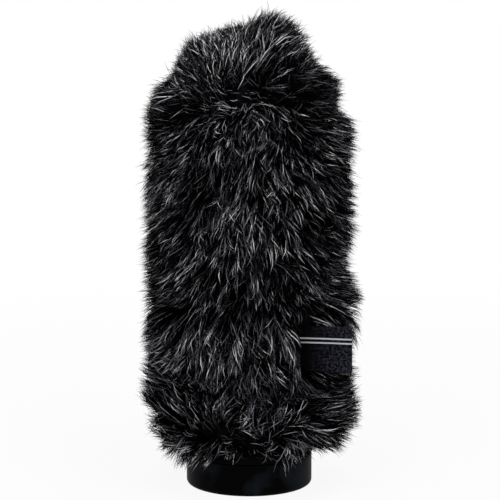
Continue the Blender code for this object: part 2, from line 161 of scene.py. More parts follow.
DIM_LOW, DIM_HIGH = 30 * MM, 85 * MM  # the fur's foot has painted shade, which fades out between these heights
FIT = 0.3 * MM  # the air between pieces that slip into each other
SENSOR = 36  # width of the camera's sensor, in mm
WHITE = (1, 1, 1, 1)
TINY = 1e-6  # keeps a division from being by nothing
FLOOR_HALF = 6.0  # from the middle of the studio's floor to its sides
WAVE = math.tau / 20  # a Wave Texture of this scale has one band in each metre


# ---- tools ---------------------------------------------------------------------------------------


def linear(colour):
    """An sRGB hex colour such as "#8a8b90" as linear red, green, blue and alpha."""
    parts = [int(colour[i : i + 2], 16) / 255 for i in (1, 3, 5)]
    return [c / 12.92 if c <= 0.04045 else ((c + 0.055) / 1.055) ** 2.4 for c in parts] + [1.0]


def new_material(name, uv_map=None):
    """A material, its node tree and Principled shader, and the socket of a place on a map or the object."""
    made = bpy.data.materials.new(name)
    made.use_nodes = True
    tree = made.node_tree
    if uv_map:
        place = node(tree, "UVMap", uv_map=uv_map).outputs["UV"]
    else:
        place = node(tree, "TexCoord").outputs["Object"]
    return made, tree, tree.nodes["Principled BSDF"], place


def wire(tree, made, inputs):
    """Sets a node's inputs to values, or links them to other nodes' sockets."""
    for key, value in inputs.items():
        if isinstance(value, bpy.types.NodeSocket):
            tree.links.new(value, made.inputs[key])
        else:
            made.inputs[key].default_value = value


def node(tree, kind, inputs=None, **settings):
    """Adds a shader node of a kind, with its properties from settings and its inputs set or linked."""
    made = tree.nodes.new("ShaderNode" + kind)
    for name, value in settings.items():
        setattr(made, name, value)
    wire(tree, made, inputs or {})
    return made


def dress(tree, shader, pattern, dark, pale, height, strength, depth, roughness, specular=0.5):
    """Tints a shader from dark to pale by a pattern, and bumps it by a height that is depth metres high."""
    tint = node(tree, "Mix", {0: pattern, 6: dark, 7: pale}, data_type="RGBA")
    bump = node(tree, "Bump", {"Height": height, "Strength": strength, "Distance": depth})
    wire(tree, shader, {"Base Color": tint.outputs[2], "Normal": bump.outputs[0]})
    wire(tree, shader, {"Roughness": roughness, "Specular IOR Level": specular})


def grid_faces(rows, columns, rows_close=False, columns_close=False):
    """Quads of a grid of points, numbered row by row.

    They face outwards where the rows run up and the columns anticlockwise seen from above.
    """
    ids = np.arange(rows * columns).reshape(rows, columns)
    if rows_close:
        ids = np.concatenate([ids, ids[:1]])
    if columns_close:
        ids = np.concatenate([ids, ids[:, :1]], 1)
    return np.stack([ids[:-1, :-1], ids[:-1, 1:], ids[1:, 1:], ids[1:, :-1]], -1).reshape(-1, 4)


def put_mesh(name, points, faces, material, body=None, smooth=True, thread_map=None):
    """A mesh object at the origin from an array of points and a list of arrays of faces.

    It rides on body and takes its finish from material. thread_map gives each point's place on the cloth,
    in metres along and across it, as the UV map that weaves are drawn on.
    """
    mesh = bpy.data.meshes.new(name)
    flat = np.concatenate([f.ravel() for f in faces])
    sizes = np.concatenate([np.full(len(f), f.shape[1]) for f in faces])
    mesh.vertices.add(len(points))
    mesh.vertices.foreach_set("co", points.astype(np.float32).ravel())
    mesh.loops.add(len(flat))
    mesh.loops.foreach_set("vertex_index", flat.astype(np.int32))
    mesh.polygons.add(len(sizes))
    mesh.polygons.foreach_set("loop_start", (np.cumsum(sizes) - sizes).astype(np.int32))
    mesh.polygons.foreach_set("use_smooth", np.full(len(sizes), smooth))
    mesh.update(calc_edges=True)
    if thread_map is not None:
        layer = mesh.uv_layers.new(name=THREAD_MAP)
        layer.uv.foreach_set("vector", thread_map[flat].astype(np.float32).ravel())
    mesh.materials.append(material)
    obj = bpy.data.objects.new(name, mesh)
    bpy.context.scene.collection.objects.link(obj)
    if body:
        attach(obj, body)
    return obj


def carried_round(path, azimuth):
    """Points (radius * cos(a), radius * sin(a), height) of a path (radius, height) at each azimuth a."""
    around = np.stack([np.cos(azimuth), np.sin(azimuth)], -1)
    heights = np.broadcast_to(path[:, None, 1:], (len(path), len(azimuth), 1))
    return np.concatenate([path[:, None, :1] * around, heights], -1)


def turned(name, corners, material, slot, rounding, spacing, steps, closed=True):
    """A turned piece: a section's corners, rounded and carried round the axis in steps.

    The section runs anticlockwise in (radius, height), which is down the outside and up the bore. It
    is a closed loop, or it starts and ends on the axis, where a fan of triangles closes it.
    """
    outline = rounded(corners, rounding, closed)
    if closed:
        outline = np.concatenate([outline, outline[:1]])
    outline = along_lines(outline, spacing)[::-1]
    rings = carried_round(outline[1:] if closed else outline[1:-1], np.arange(steps) / steps * math.tau)
    points = rings.reshape(-1, 3)
    faces = [grid_faces(len(rings), steps, rows_close=closed, columns_close=True)]
    if not closed:
        points, fans = with_poles(points, len(rings), steps, outline[0, 1], outline[-1, 1])
        faces += fans
    return put_mesh(name, points, faces, material, BODY)


def with_poles(points, rows, columns, low, high):
    """Adds a point on the axis at the low and the high end of a round grid, and the fans that close it."""
    j = np.arange(columns)
    last = (rows - 1) * columns
    low_fan = np.stack([(j + 1) % columns, j, np.full(columns, rows * columns)], -1)
    high_fan = np.stack([last + j, last + (j + 1) % columns, np.full(columns, rows * columns + 1)], -1)
    return np.concatenate([points, [[0, 0, low], [0, 0, high]]]), [low_fan, high_fan]


def sheet_of(name, middle, normal, thickness, material, body, thread_map, closed=False):
    """A closed sheet of cloth: a grid of points on its middle, moved out and in by half its thickness.

    The two faces are joined by a strip along each free edge. closed tells that its columns go all round.
    """
    rows, columns = middle.shape[:2]
    outer = (middle + normal * thickness / 2).reshape(-1, 3)
    inner = (middle - normal * thickness / 2).reshape(-1, 3)
    count = rows * columns
    front = grid_faces(rows, columns, columns_close=closed)
    ids = np.arange(count).reshape(rows, columns)
    if closed:
        loops = [np.append(ids[0], ids[0, 0]), np.append(ids[-1], ids[-1, 0])[::-1]]
    else:
        loops = [np.concatenate([ids[0], ids[1:, -1], ids[-1, -2::-1], ids[-2::-1, 0]])]
    edges = [np.stack([k[1:], k[:-1], k[:-1] + count, k[1:] + count], -1) for k in loops]
    cloth = np.concatenate([thread_map.reshape(-1, 2)] * 2)
    points = np.concatenate([outer, inner])
    faces = [front, front[:, ::-1] + count, *edges]
    return put_mesh(name, points, faces, material, body, thread_map=cloth)


def bend(start, end, centre, radius, steps):
    """Points (radius, height) on an arc round a centre from one angle to another, in degrees."""
    a = np.radians(np.linspace(start, end, steps))
    return [(centre[0] + radius * c, centre[1] + radius * s) for c, s in zip(np.cos(a), np.sin(a))]


def along_lines(corners, spacing):
    """Points every spacing or so along the straight lines between corners, as an array."""
    corners = np.array(corners)
    parts = []
    for start, end in zip(corners[:-1], corners[1:]):
        count = max(1, round(float(np.linalg.norm(end - start)) / spacing))
        parts.append(start + (end - start) * (np.arange(count) / count)[:, None])
    return np.concatenate([*parts, corners[-1:]])


def run_along(path):
    """How far each point of a path is from its first, measured along it."""
    return np.concatenate([[0], np.cumsum(np.linalg.norm(np.diff(path, axis=0), axis=1))])


def smoothstep(low, high, x):
    """0 below low, 1 above high, and the cubic 3t^2 - 2t^3 between them."""
    t = np.clip((x - low) / (high - low), 0, 1)
    return t * t * (3 - 2 * t)


def bell(x, middle, width):
    """exp(-((x - middle) / width)^2): 1 in the middle, and close to 0 two widths away."""
    return np.exp(-(((x - middle) / width) ** 2))


def unit(vectors):
    """Vectors along the last axis, each scaled to length 1."""
    return vectors / np.maximum(np.linalg.norm(vectors, axis=-1, keepdims=True), 1e-12)


def laid_flat(vectors, normal):
    """Vectors less their own part along a normal: v - (v . n) n."""
    return vectors - (vectors * normal).sum(-1, keepdims=True) * normal


def mixed(share, first, second):
    """first where share is 0, second where it is 1, and in proportion between them, for rows of vectors."""
    return (1 - share)[:, None] * first + share[:, None] * second


def steered(angle, ahead, aside):
    """cos(angle) ahead and sin(angle) aside: rows of vectors, each turned by its own angle."""
    return np.cos(angle)[:, None] * ahead + np.sin(angle)[:, None] * aside


def points_of(mesh):
    """The points of a mesh, as an array with one row for each."""
    points = np.zeros(len(mesh.vertices) * 3)
    mesh.vertices.foreach_get("co", points)
    return points.reshape(-1, 3)


def label_lie():
    """The angle from +X in which the label lies from its hinge, and its length."""
    flat = points_of(frame["nodes"]["label_tag"].data)[:, :2] - LABEL_FOOT[:2]
    reach = np.linalg.norm(flat, axis=1)
    end = flat[reach > reach.max() * 0.99].mean(0)
    return math.atan2(end[1], end[0]), float(reach.max())


LABEL_LIE, LABEL_REACH = label_lie()


# ---- fur -----------------------------------------------------------------------------------------


def on_skin(rise, azimuth):
    """Points of the skin that the hairs grow from, with its normal and its tangents round and up.

    rise is the distance up the skin from its hem. The normal's tilt from level is 0 on the straight
    body, eases to HEM_TILT at the hem, and is rise over radius on the dome, whose points are
    centre + radius * normal.
    """
    over = np.clip((rise - STRAIGHT) / SKIN_RADIUS, 0, math.pi / 2)
    height = SKIN_LOW + np.minimum(rise, STRAIGHT)
    drawn_in = 1 - smoothstep(SKIN_LOW, SKIN_TURN_IN, height)
    tilt = over + drawn_in * HEM_TILT
    radius = (SKIN_RADIUS - drawn_in * (SKIN_RADIUS - SKIN_HEM_RADIUS)) * np.cos(over)
    c, s = np.cos(azimuth), np.sin(azimuth)
    ct, st = np.cos(tilt), np.sin(tilt)
    point = np.stack([radius * c, radius * s, height + SKIN_RADIUS * np.sin(over)], -1)
    normal = np.stack([ct * c, ct * s, st], -1)
    round_ = np.stack([-s, c, np.zeros_like(s)], -1)
    up = np.stack([-st * c, -st * s, ct], -1)
    return point, normal, round_, up


def wander(points, spacing, seed):
    """A smooth random value of about -1 to 1 at points in space.

    It adds up twelve plane waves, each the sine of a distance, whose crests are spacing mm apart.
    """
    rng = np.random.default_rng(seed)
    directions = unit(rng.normal(size=(12, 3)))
    phases = rng.uniform(0, math.tau, 12)
    return np.sin(points @ directions.T * (math.tau / (spacing * MM)) + phases).sum(-1) / math.sqrt(12)


def near(points, x, z, radius):
    """1 at a place on the front of the fur and 0 far from it: a bell of the distance over the radius."""
    away = ((points[:, 0] - x * MM) ** 2 + (points[:, 2] - z * MM) ** 2) / (radius * MM) ** 2
    return np.exp(-away) * (points[:, 1] < FRONT_SIDE)


def combing(point, normal, round_, up):
    """How the pile is brushed at places on the skin.

    Returns the way along the skin that the hairs lean, how far they lean and how far they stand out,
    both as shares of what is usual, how much painted light or shade they get in their colour, and how
    tangled they are, from 0 to 1.
    Below the parting the hairs fall, but near the hem a band of them is brushed up, and above the
    parting they are swept over the crown towards the back and out to both sides. Slow and quick waves
    turn and lift them, and SWIRLS does so at single places.
    """
    x, height, across = point[:, 0], point[:, 2], normal[:, 0]
    side = np.abs(across)
    front = np.clip(-normal[:, 1], 0, 1)
    right = np.clip(across, 0, 1)
    # Waves of several sizes, which turn the hairs less down the middle of the front
    calm = 1 - 0.35 * front * (1 - side)
    turn = 0.30 * wander(point, 52, 4) + 0.22 * wander(point, 21, 5) + 0.30 * wander(point, 9, 6)
    turn = turn * calm + 0.15 * right
    lean = 1.38 - 0.78 * side**2 + 0.20 * wander(point, 24, 7) + 0.17 * wander(point, 10, 8)
    lean -= 0.15 * right
    stand = 1 + 0.04 * wander(point, 28, 9) + 0.05 * wander(point, 10, 10)
    # pale is painted light and shade in the hairs' colour: here, patches of painted sheen and painted shade
    pale = 0.55 * wander(point, 30, 12) + 0.5 * wander(point, 11, 13)

    # Near the hem the hairs stand out less, lean less and go more ways
    hem = 1 - smoothstep(SKIN_LOW, SKIN_LOW + HEM_ZONE, height)
    stand -= 0.25 * hem
    lean -= 0.30 * hem
    turn += 0.55 * hem * wander(point, 9, 16)
    # Above a gap the hairs stand up and below it they lie closer, and painted shade darkens the hairs along
    # it
    warped = height + 4 * MM * wander(point, 45, 14)
    for line, width, strength in GAPS:
        from_line = (warped - line * MM) / (width * MM)
        lean -= strength * from_line * np.exp(0.5 - from_line**2 / 2)
        pale -= 1.3 * strength * bell(from_line, 0, 1)
    away = np.zeros((len(point), 3))
    for middle, level, radius, *rest in SWIRLS:
        more_light_or_shade, more_stand, more_lean, more_turn, part = (*rest, 0, 0, 0, 0)[:5]
        share = near(point, middle, level, radius)
        pale += share * more_light_or_shade
        stand += share * more_stand
        lean += share * more_lean
        turn += share * math.radians(more_turn)
        out = (point - np.array([middle * MM, 0, level * MM])) * np.array([1, 0, 1])
        away += (share * part)[:, None] * out / (radius * MM)

    # The falling hairs, and the band of them that is brushed up, with a ridge along its top
    fall = steered(turn, -up, round_)
    places, lows, highs, turns = np.array(BRUSHED).T
    top = np.interp(x / MM, places, highs) * MM + 2 * MM * wander(point, 16, 22)
    foot = np.interp(x / MM, places, lows) * MM + 1.2 * MM * wander(point, 14, 23)
    rising = smoothstep(foot - 2 * MM, foot + 2 * MM, height)
    rising = rising * (1 - smoothstep(top - 2.5 * MM, top + 2.5 * MM, height))
    brushed = smoothstep(-0.5, 0, -normal[:, 1])
    rising = rising * brushed
    ridge = brushed * bell(height, top, RIDGE)
    lean = lean * (1 - 0.6 * ridge) + 0.25 * rising
    # and the ridge's hairs are drawn darker
    pale = pale - 0.4 * ridge
    fall = mixed(rising, fall, steered(np.interp(x / MM, places, turns) + 0.8 * turn, up, round_))

    # The crown's fan, the wavy parting that it starts at, and how tangled the hairs are there
    from_middle = across - FAN_MIDDLE
    fan = math.pi / 2 - np.where(from_middle > 0, FAN_RIGHT, FAN_LEFT) * from_middle + 0.5 * turn
    swept = np.stack([0.12 + 0.95 * np.cos(fan), np.full_like(fan, 0.85), 0.3 * front * np.sin(fan)], -1)
    swept = unit(laid_flat(swept, normal))
    parting = (PARTING_RISE * front - 2) * MM + PARTING_SLOPE * x
    parting = parting + 3.4 * MM * wander(point, 22, 15) + 2.0 * MM * wander(point, 9, 17)
    for middle, width, hump in PARTING_HUMPS:
        parting += hump * MM * front * bell(x, middle * MM, width * MM)
    above = height - SHOULDER - parting
    crown = smoothstep(-4 * MM, 4 * MM, above)
    tangle = front * bell(above, 0, 6.5 * MM)
    tangle += 0.5 * brushed * bell(height, foot, 3.5 * MM)

    # All of it together. Where the ways cancel out, the hairs stand up and point anywhere
    sideways = 1.3 * tangle * wander(point, 13, 25)
    comb = laid_flat(mixed(crown, fall, swept) + sideways[:, None] * round_ + away, normal)
    strength = np.clip(np.linalg.norm(comb, axis=-1) + 0.5 * tangle, 0, 1)
    lean = np.clip(lean + crown * (0.40 - 0.15 * side**2), 0.1, 1.8) * (0.3 + 0.7 * strength)
    # Painted shade in the hairs' colour: darker in the tangle at the parting and at the brushed band's foot,
    # towards the fur's foot and its hem, and a little over the crown
    low = 1 - smoothstep(DIM_LOW, DIM_HIGH, height)
    pale = pale - 1.5 * tangle - 0.35 * low - 0.25 * hem - 0.15 * crown
    stand = stand - 0.16 * tangle
    muddle = 1.6 * np.maximum(tangle, 1 - strength) * wander(point, 5, 19)
    comb = unit(comb)
    comb = steered(muddle, comb, np.cross(normal, comb))
    return comb, lean, stand, pale, tangle


def outline_share(point):
    """How far the locks at the outline stand out beyond the rest, in metres, for hair tips on the dome.

    Each of LOCKS is a bell of the angle over the top, fading to nothing towards the front and back.
    """
    angle = np.degrees(np.arctan2(point[:, 2] - DOME, -point[:, 0]))
    extra = sum(height * MM * bell(angle, middle, width) for middle, width, height in LOCKS)
    return extra * bell(point[:, 1], 0, 20 * MM)


def fringe_floor(point):
    """The height that the fringe's tips end at, rising outwards, higher at the front and lower in its locks.

    It rises less steeply on the +X side.
    """
    radius = np.maximum(np.linalg.norm(point[:, :2], axis=-1), TINY)
    front = np.clip(-point[:, 1] / radius, 0, 1)
    to_right = point[:, 0] / radius
    slope = 0.86 - 0.48 * to_right
    floor = (9.7 + 2.2 * to_right) * MM + slope * (radius - 30 * MM) + 5.7 * MM * front**2
    for x, width, drop in FRINGE_LOCKS:
        floor -= drop * MM * (point[:, 1] < FRONT_SIDE) * bell(point[:, 0], x * MM, width * MM)
    return floor + 1.0 * MM * wander(point, 9, 18)


def grow_tufts(settings, seed):
    """Tufts spread evenly over the fur's outside by the golden angle, and the hairs of each.

    Returns a dictionary of arrays with one row for each hair. A tuft is an arc, just long enough to
    take its tip as far off the skin as it stands out, less what the skin curves away below it, and
    it is trimmed where its tip would hang lower than the fringe's floor.
    """
    rng = np.random.default_rng(seed)
    count, each = settings.tuft_count, settings.hairs_in_tuft
    share = (np.arange(count) + 0.5) / count * (STRAIGHT + PILE_RADIUS)
    over = np.arcsin(np.clip((share - STRAIGHT) / PILE_RADIUS, 0, 1))
    rise = np.minimum(share, STRAIGHT) + SKIN_RADIUS * over
    rise = np.clip(rise + rng.normal(0, TUFT_SHIFT, count), 0, SKIN_LENGTH)
    azimuth = np.arange(count) * GOLDEN_ANGLE
    azimuth = (azimuth + rng.normal(0, TUFT_SHIFT, count) / SKIN_RADIUS) % math.tau

    point, normal, round_, up = on_skin(rise, azimuth)
    comb, lean, stand, pale, tangle = combing(point, normal, round_, up)
    stray = (rng.normal(0, 1, count) * (settings.tuft_stray + 1.1 * tangle))[:, None]
    comb = unit(comb + stray * np.cross(normal, comb))
    # The lean at the root and at the tip, and the arc between that stands out by reach
    lean_start = settings.lean_start * lean
    lean_end = settings.lean_end * lean + rng.normal(0, 1, count) * (0.11 + 0.25 * tangle)
    lean_end = np.clip(lean_end, 0.12, 1.35) + 0.02
    lean_start = np.minimum(lean_start, lean_end - 0.08)
    reach = settings.reach * stand * np.clip(rng.normal(1, 0.05, count), 0.85, 1.12)
    higher = np.sin(lean_end) - np.sin(lean_start)
    along = np.minimum(reach * (np.cos(lean_start) - np.cos(lean_end)) / higher, reach)
    curved = np.where(rise > STRAIGHT, 1.0, (comb * round_).sum(-1) ** 2)
    reach = reach - curved * along**2 / (2 * (SKIN_RADIUS + reach))
    tip = point + reach[:, None] * normal + along[:, None] * comb
    reach = reach + outline_share(tip) * (rise > STRAIGHT - 12 * MM)
    length = reach * (lean_end - lean_start) / higher
    # How far the tip hangs below the root, and how far it may
    fallen = along * -comb[:, 2] - reach * normal[:, 2]
    allowed = point[:, 2] - fringe_floor(tip)
    trimmed = np.clip(allowed / np.maximum(fallen, 0.5 * MM), 0.4, 1.0)
    length = length * np.where((point[:, 2] < FRINGE_TOP) & (fallen > allowed), trimmed, 1.0)
    tufts = {
        "rise": rise,
        "azimuth": azimuth,
        "root": point,
        "normal": normal,
        "comb": comb,
        "lean_start": lean_start,
        "lean_end": lean_end,
        "length": np.minimum(length, 1.9 * settings.reach),
        "gather": np.clip(rng.normal(settings.gather, 0.12, count), 0.2, 0.92),
        # painted light and shade of the tuft's hairs, with a random part of its own
        "pale": pale + rng.normal(0, 0.6, count),
        "wave": 1 + 1.5 * tangle,
    }
    hairs = {key: np.repeat(value, each, axis=0) for key, value in tufts.items()}
    # Each hair's own root in a disc, and how it differs from its tuft
    total = count * each
    spread = settings.tuft_radius * np.sqrt(rng.uniform(0, 1, total))
    turn = rng.uniform(0, math.tau, total)
    hairs["own_rise"] = np.maximum(hairs["rise"] + spread * np.sin(turn), 0)
    flat_radius = np.maximum(np.linalg.norm(hairs["root"][:, :2], axis=-1), 2 * MM)
    hairs["own_azimuth"] = hairs["azimuth"] + spread * np.cos(turn) / flat_radius
    hairs["share"] = np.clip(rng.normal(0.93, 0.11, total), 0.5, 1.12)
    hairs["loose"] = rng.uniform(0, 1, total) < settings.loose_share
    hairs["bend"] = rng.normal(0, 1, (total, 2))
    hairs["spin"] = rng.uniform(0, math.tau, total)
    hairs["luck"] = rng.uniform(0, 1, total)
    hairs["thickness"] = rng.uniform(0.75, 1.2, total)
    return hairs


def arc_of(lean_start, lean_end, length, t):
    """How far a hair has gone out and along at t of its length, where its lean from the normal grows evenly.

    Such a hair is an arc of a circle: out is the integral of cos(lean), and along that of sin(lean).
    """
    span = lean_end - lean_start
    lean = lean_start + span * t
    out = length * (np.sin(lean) - np.sin(lean_start)) / span
    along = length * (np.cos(lean_start) - np.cos(lean)) / span
    return out[..., None], along[..., None]


def label_band(z, foot):
    """1 at the label's heights, fading to 0 over foot below them and over PARTING_FADE above."""
    low, high = LABEL_LOW - LABEL_AIR, LABEL_HIGH + LABEL_AIR
    return smoothstep(low - foot, low, z) * (1 - smoothstep(high, high + PARTING_FADE, z))


def part_round_label(points):
    """Moves points out of the space that the label lies and swings in. Returns them and how far each went.

    A point at the label's height is pushed behind the label's plane where it is pressed back, or to
    the near side of the parting before it. The push fades out above and below the label.
    """
    inside = label_band(points[..., 2], PARTING_FOOT)
    flat = points[..., :2] - LABEL_FOOT[:2]
    angle = np.arctan2(flat[..., 1], flat[..., 0])
    back = LABEL_LIE - math.radians(FLAP["range_deg"][0])
    behind = np.array([-math.sin(back), math.cos(back)])
    before = np.array([math.sin(PARTING_FRONT), -math.cos(PARTING_FRONT)])
    middle = (back + PARTING_FRONT) / 2
    to_back = (angle > middle) & (angle < middle + 2)
    to_front = (angle <= middle) & (angle > middle - 2)
    shy = smoothstep(0, 3 * MM, np.linalg.norm(flat, axis=-1))
    push_back = shy * to_back * np.maximum(LABEL_AIR - flat @ behind, 0)
    push_front = shy * to_front * np.maximum(LABEL_AIR - flat @ before, 0)
    push = (inside * push_back)[..., None] * behind + (inside * push_front)[..., None] * before
    moved = points.copy()
    moved[..., :2] += push
    return moved, np.linalg.norm(push, axis=-1)


def clear_of_base(points):
    """Pushes hairs that reach down beside the base out to its side, with a little air between."""
    radius = np.maximum(np.linalg.norm(points[..., :2], axis=-1), TINY)
    low = 1 - smoothstep(BASE_HEIGHT - 1 * MM, BASE_HEIGHT + 4 * MM, points[..., 2])
    grown = 1 + low * np.maximum((BASE_RADIUS + 0.7 * MM) / radius - 1, 0)
    return points * np.stack([grown, grown, np.ones_like(grown)], -1)


def within_reach(points):
    """Holds hairs back from FUR_REACH: beyond the last REACH_EASE a distance grows only as its tanh."""
    radius = np.maximum(np.linalg.norm(points[..., :2], axis=-1), TINY)
    easy = FUR_REACH - REACH_EASE
    held = easy + REACH_EASE * np.tanh(np.maximum(radius - easy, 0) / REACH_EASE)
    drawn = np.where(radius > easy, held / radius, 1)
    return points * np.stack([drawn, drawn, np.ones_like(drawn)], -1)


RINGS = np.array([0.0, 0.38, 0.82, 1.0])  # where a hair's points stand along it: root, two rings and tip
RING_WIDTHS = np.array([1.0, 0.8])  # of the two rings, as shares of the hair's width
# The corners of a hair's triangles, each three times round it: which of RINGS, and how far round in thirds
HAIR_TRIANGLES = (
    ((0, 0.5), (1, 1), (1, 0)),
    ((1, 0), (1, 1), (2, 1)),
    ((1, 0), (2, 1), (2, 0)),
    ((2, 0), (2, 1), (3, 0.5)),
)
SHADE_BAND = 0.012  # how wide a hair is on the map of shades


def hair_paths(settings, hairs):
    """The points of every hair at RINGS, a vector across it, and which hairs the label leaves room for.

    A hair's own arc is drawn towards its tuft's arc by its gather times t^1.2, then bent aside and
    outwards by t^2 and swayed by a sine of t.
    """
    t = RINGS[None, :]
    root, normal, _, _ = on_skin(hairs["own_rise"], hairs["own_azimuth"])
    comb = hairs["comb"]
    own_comb = unit(laid_flat(comb, normal))
    start, end = hairs["lean_start"][:, None], hairs["lean_end"][:, None]
    length = hairs["length"][:, None]
    share = hairs["share"][:, None]
    out, along = arc_of(start, end, length * share, t)
    own = root[:, None] + out * normal[:, None] + along * own_comb[:, None]
    out, along = arc_of(start, end, length, t * share)
    tuft = hairs["root"][:, None] + out * hairs["normal"][:, None] + along * comb[:, None]
    gather = np.where(hairs["loose"], 0.2, hairs["gather"])[:, None] * t**1.2
    points = own + gather[..., None] * (tuft - own)

    side = unit(np.cross(hairs["normal"], comb))
    stray = np.where(hairs["loose"], settings.loose_stray, settings.hair_stray)
    sway = np.sin(2.4 * math.pi * t + hairs["spin"][:, None])
    wave = settings.hair_wave * hairs["wave"][:, None] * sway * t
    aside = (stray * hairs["bend"][:, 0])[:, None] * t**2 + wave
    lift = (0.5 * stray * hairs["bend"][:, 1])[:, None] * t**2
    points = points + aside[..., None] * side[:, None] + lift[..., None] * normal[:, None]
    points, pushed = part_round_label(within_reach(clear_of_base(points)))
    return points, side, pushed.max(-1) < MOST_PUSHED


def hair_mesh(name, points, side, width, shade, material):
    """Hairs as closed three-sided spindles along their paths, with a map of shade across and place along."""
    count = len(points)
    forward = unit(np.gradient(points, axis=1)[:, 1:-1])
    across = unit(laid_flat(side[:, None], forward))
    third = np.cross(forward, across)
    turn = np.arange(3) * math.tau / 3
    radii = (width[:, None] / 2 * RING_WIDTHS)[..., None, None]
    ring = points[:, 1:-1, None] + radii * (
        np.cos(turn)[:, None] * across[:, :, None] + np.sin(turn)[:, None] * third[:, :, None]
    )
    verts = np.concatenate([points[:, :1], ring.reshape(count, 6, 3), points[:, -1:]], 1)

    # A hair's points are its root 0, the rings 1 to 3 and 4 to 6, and its tip 7
    tris, maps = [], []
    for corners in HAIR_TRIANGLES:
        for k in range(3):
            tris.append([(0, 1, 4, 7)[i] + (k + step) % 3 * (i in (1, 2)) for i, step in corners])
            maps.append([((k + step) / 3, RINGS[i]) for i, step in corners])
    tris, maps = np.array(tris, int), np.array(maps)

    faces = (tris[None] + (np.arange(count) * 8)[:, None, None]).reshape(-1, 3)
    obj = put_mesh(name, verts.reshape(-1, 3), [faces], material, BODY)
    uv = np.empty((count, len(tris), 3, 2), np.float32)
    uv[..., 0] = shade[:, None, None] * (1 - SHADE_BAND) + SHADE_BAND * maps[None, ..., 0]
    uv[..., 1] = maps[None, ..., 1]
    layer = obj.data.uv_layers.new(name=BAKED_MAP)
    layer.uv.foreach_set("vector", uv.ravel())
    return obj


def fur_material(settings):
    """Dyed acrylic pile: black fibres of even gloss, with painted highlights: some are drawn grey, as streaks
    where they catch the light.

    Across the map runs each hair's shade, from black to grey, where the greys are painted sheen. Along it the
    hair has painted shade at its root, where the pile shades it, and a painted highlight past its middle.
    """
    made, tree, shader, place = new_material("dyed_acrylic_pile", BAKED_MAP)
    parts = node(tree, "SeparateXYZ", {0: place})
    hair_colour_and_sheen = (
        (0.0, settings.dark_colour),
        (0.52, settings.middle_colour),
        (0.78, settings.pale_sheen_colour),
        (0.9, settings.violet_sheen_colour),
        (1.0, settings.bright_sheen_colour),
    )
    # Along the hair: painted shade at the root and a painted highlight past the middle
    shade_and_highlight_along = ((0.2, (0.03, 0.03, 0.03, 1)), (0.62, WHITE), (1.0, (0.75, 0.75, 0.75, 1)))
    tints = []
    for axis, stops in (("X", hair_colour_and_sheen), ("Y", shade_and_highlight_along)):
        ramp = node(tree, "ValToRGB", {"Fac": parts.outputs[axis]})
        for element, position in zip(ramp.color_ramp.elements, (stops[0][0], stops[-1][0])):
            element.position = position
        for position, _ in stops[1:-1]:
            ramp.color_ramp.elements.new(position)
        for element, (_, colour) in zip(ramp.color_ramp.elements, stops):
            element.color = colour
        tints.append(ramp.outputs["Color"])
    colour = node(
        tree, "Mix", {0: 1.0, 6: tints[0], 7: tints[1]}, data_type="RGBA", blend_type="MULTIPLY"
    )
    wire(tree, shader, {"Base Color": colour.outputs[2], "Roughness": 0.45, "Specular IOR Level": 0.01})
    return made


def undercoat_material():
    """Short acrylic fibres, curled and matted: almost black, with faint flecks half a millimetre wide."""
    made, tree, shader, place = new_material("matted_acrylic_undercoat")
    noise = node(tree, "TexNoise", {"Vector": place, "Scale": 1 / (0.5 * MM), "Detail": 4.0})
    flecks = noise.outputs["Fac"]
    dress(tree, shader, flecks, linear("#020203"), linear("#0c0c0f"), flecks, 0.8, 0.4 * MM, 0.95, 0.05)
    return made


def undercoat_rows(settings, across, upward):
    """The short dense fibres among the hairs' roots, as rows of points of one wall.

    It is the skin moved out a little, and moved out to the undercoat's height with lumps of a tuft's
    size. Its rows run from the top down the inner side, round the hem and up the outer side.
    """
    rise = np.linspace(0.001, 0.998, upward) * SKIN_LENGTH
    rise = np.concatenate([rise[::-1], rise])
    outer = np.arange(2 * upward) >= upward
    a, r = np.meshgrid(np.arange(across) / across * math.tau, rise)
    point, normal, _, _ = on_skin(r.ravel(), a.ravel())
    fade = smoothstep(0, HEM_ZONE, r.ravel())
    lumps = 0.25 * MM * wander(point, 7, 21)
    beside = (a.ravel() - SEAM_AZIMUTH + math.pi) % math.tau - math.pi
    dip = 1 - 0.9 * label_band(point[:, 2], PARTING_FADE) * bell(beside * SKIN_RADIUS, 0, 4 * MM)
    out = np.where(np.repeat(outer, across), (0.8 * MM + fade * (settings.undercoat + lumps)) * dip, 0.3 * MM)
    point, _ = part_round_label(clear_of_base(point + out[:, None] * normal))
    return point.reshape(2 * upward, across, 3)


# ---- base, bush and foam -------------------------------------------------------------------------


def rounded(outline, radius, closed=True):
    """An outline with each corner cut back by radius, or by less on short sides, and rounded by a parabola.

    Where a corner P lies between the cut points A and B, its curve is (1-t)^2 A + 2t(1-t) P + t^2 B.
    """
    outline = np.array(outline, float)
    inner = outline if closed else outline[1:-1]
    before = np.roll(outline, 1, 0) if closed else outline[:-2]
    after = np.roll(outline, -1, 0) if closed else outline[2:]
    cuts = []
    for way in (before - inner, after - inner):
        size = np.linalg.norm(way, axis=1, keepdims=True)
        cuts.append(inner + way / size * np.minimum(radius, 0.45 * size))
    start, end = cuts
    t = np.linspace(0, 1, 5)[None, :, None]
    curves = (1 - t) ** 2 * start[:, None] + 2 * t * (1 - t) * inner[:, None] + t**2 * end[:, None]
    curves = curves.reshape(-1, 2)
    return curves if closed else np.concatenate([outline[:1], curves, outline[-1:]])


def base_outline(settings):
    """The section of the base: a collar, the hem's waist, a straight side, a rounded foot and a hole."""
    edge = settings.edge
    foot = bend(0, -90, (BASE_RADIUS - edge, edge), edge, 9)
    inside = settings.waist_radius - settings.wall
    return [
        (settings.collar_radius, BASE_HEIGHT),
        (settings.collar_radius, settings.waist_high),
        (settings.waist_radius, settings.waist_high),
        (settings.waist_radius, settings.waist_low),
        (BASE_RADIUS, settings.waist_low),
        *foot,
        (settings.hole_radius, 0.0),
        (settings.hole_radius, settings.floor),
        (inside, settings.floor),
        (inside, BASE_HEIGHT),
    ]


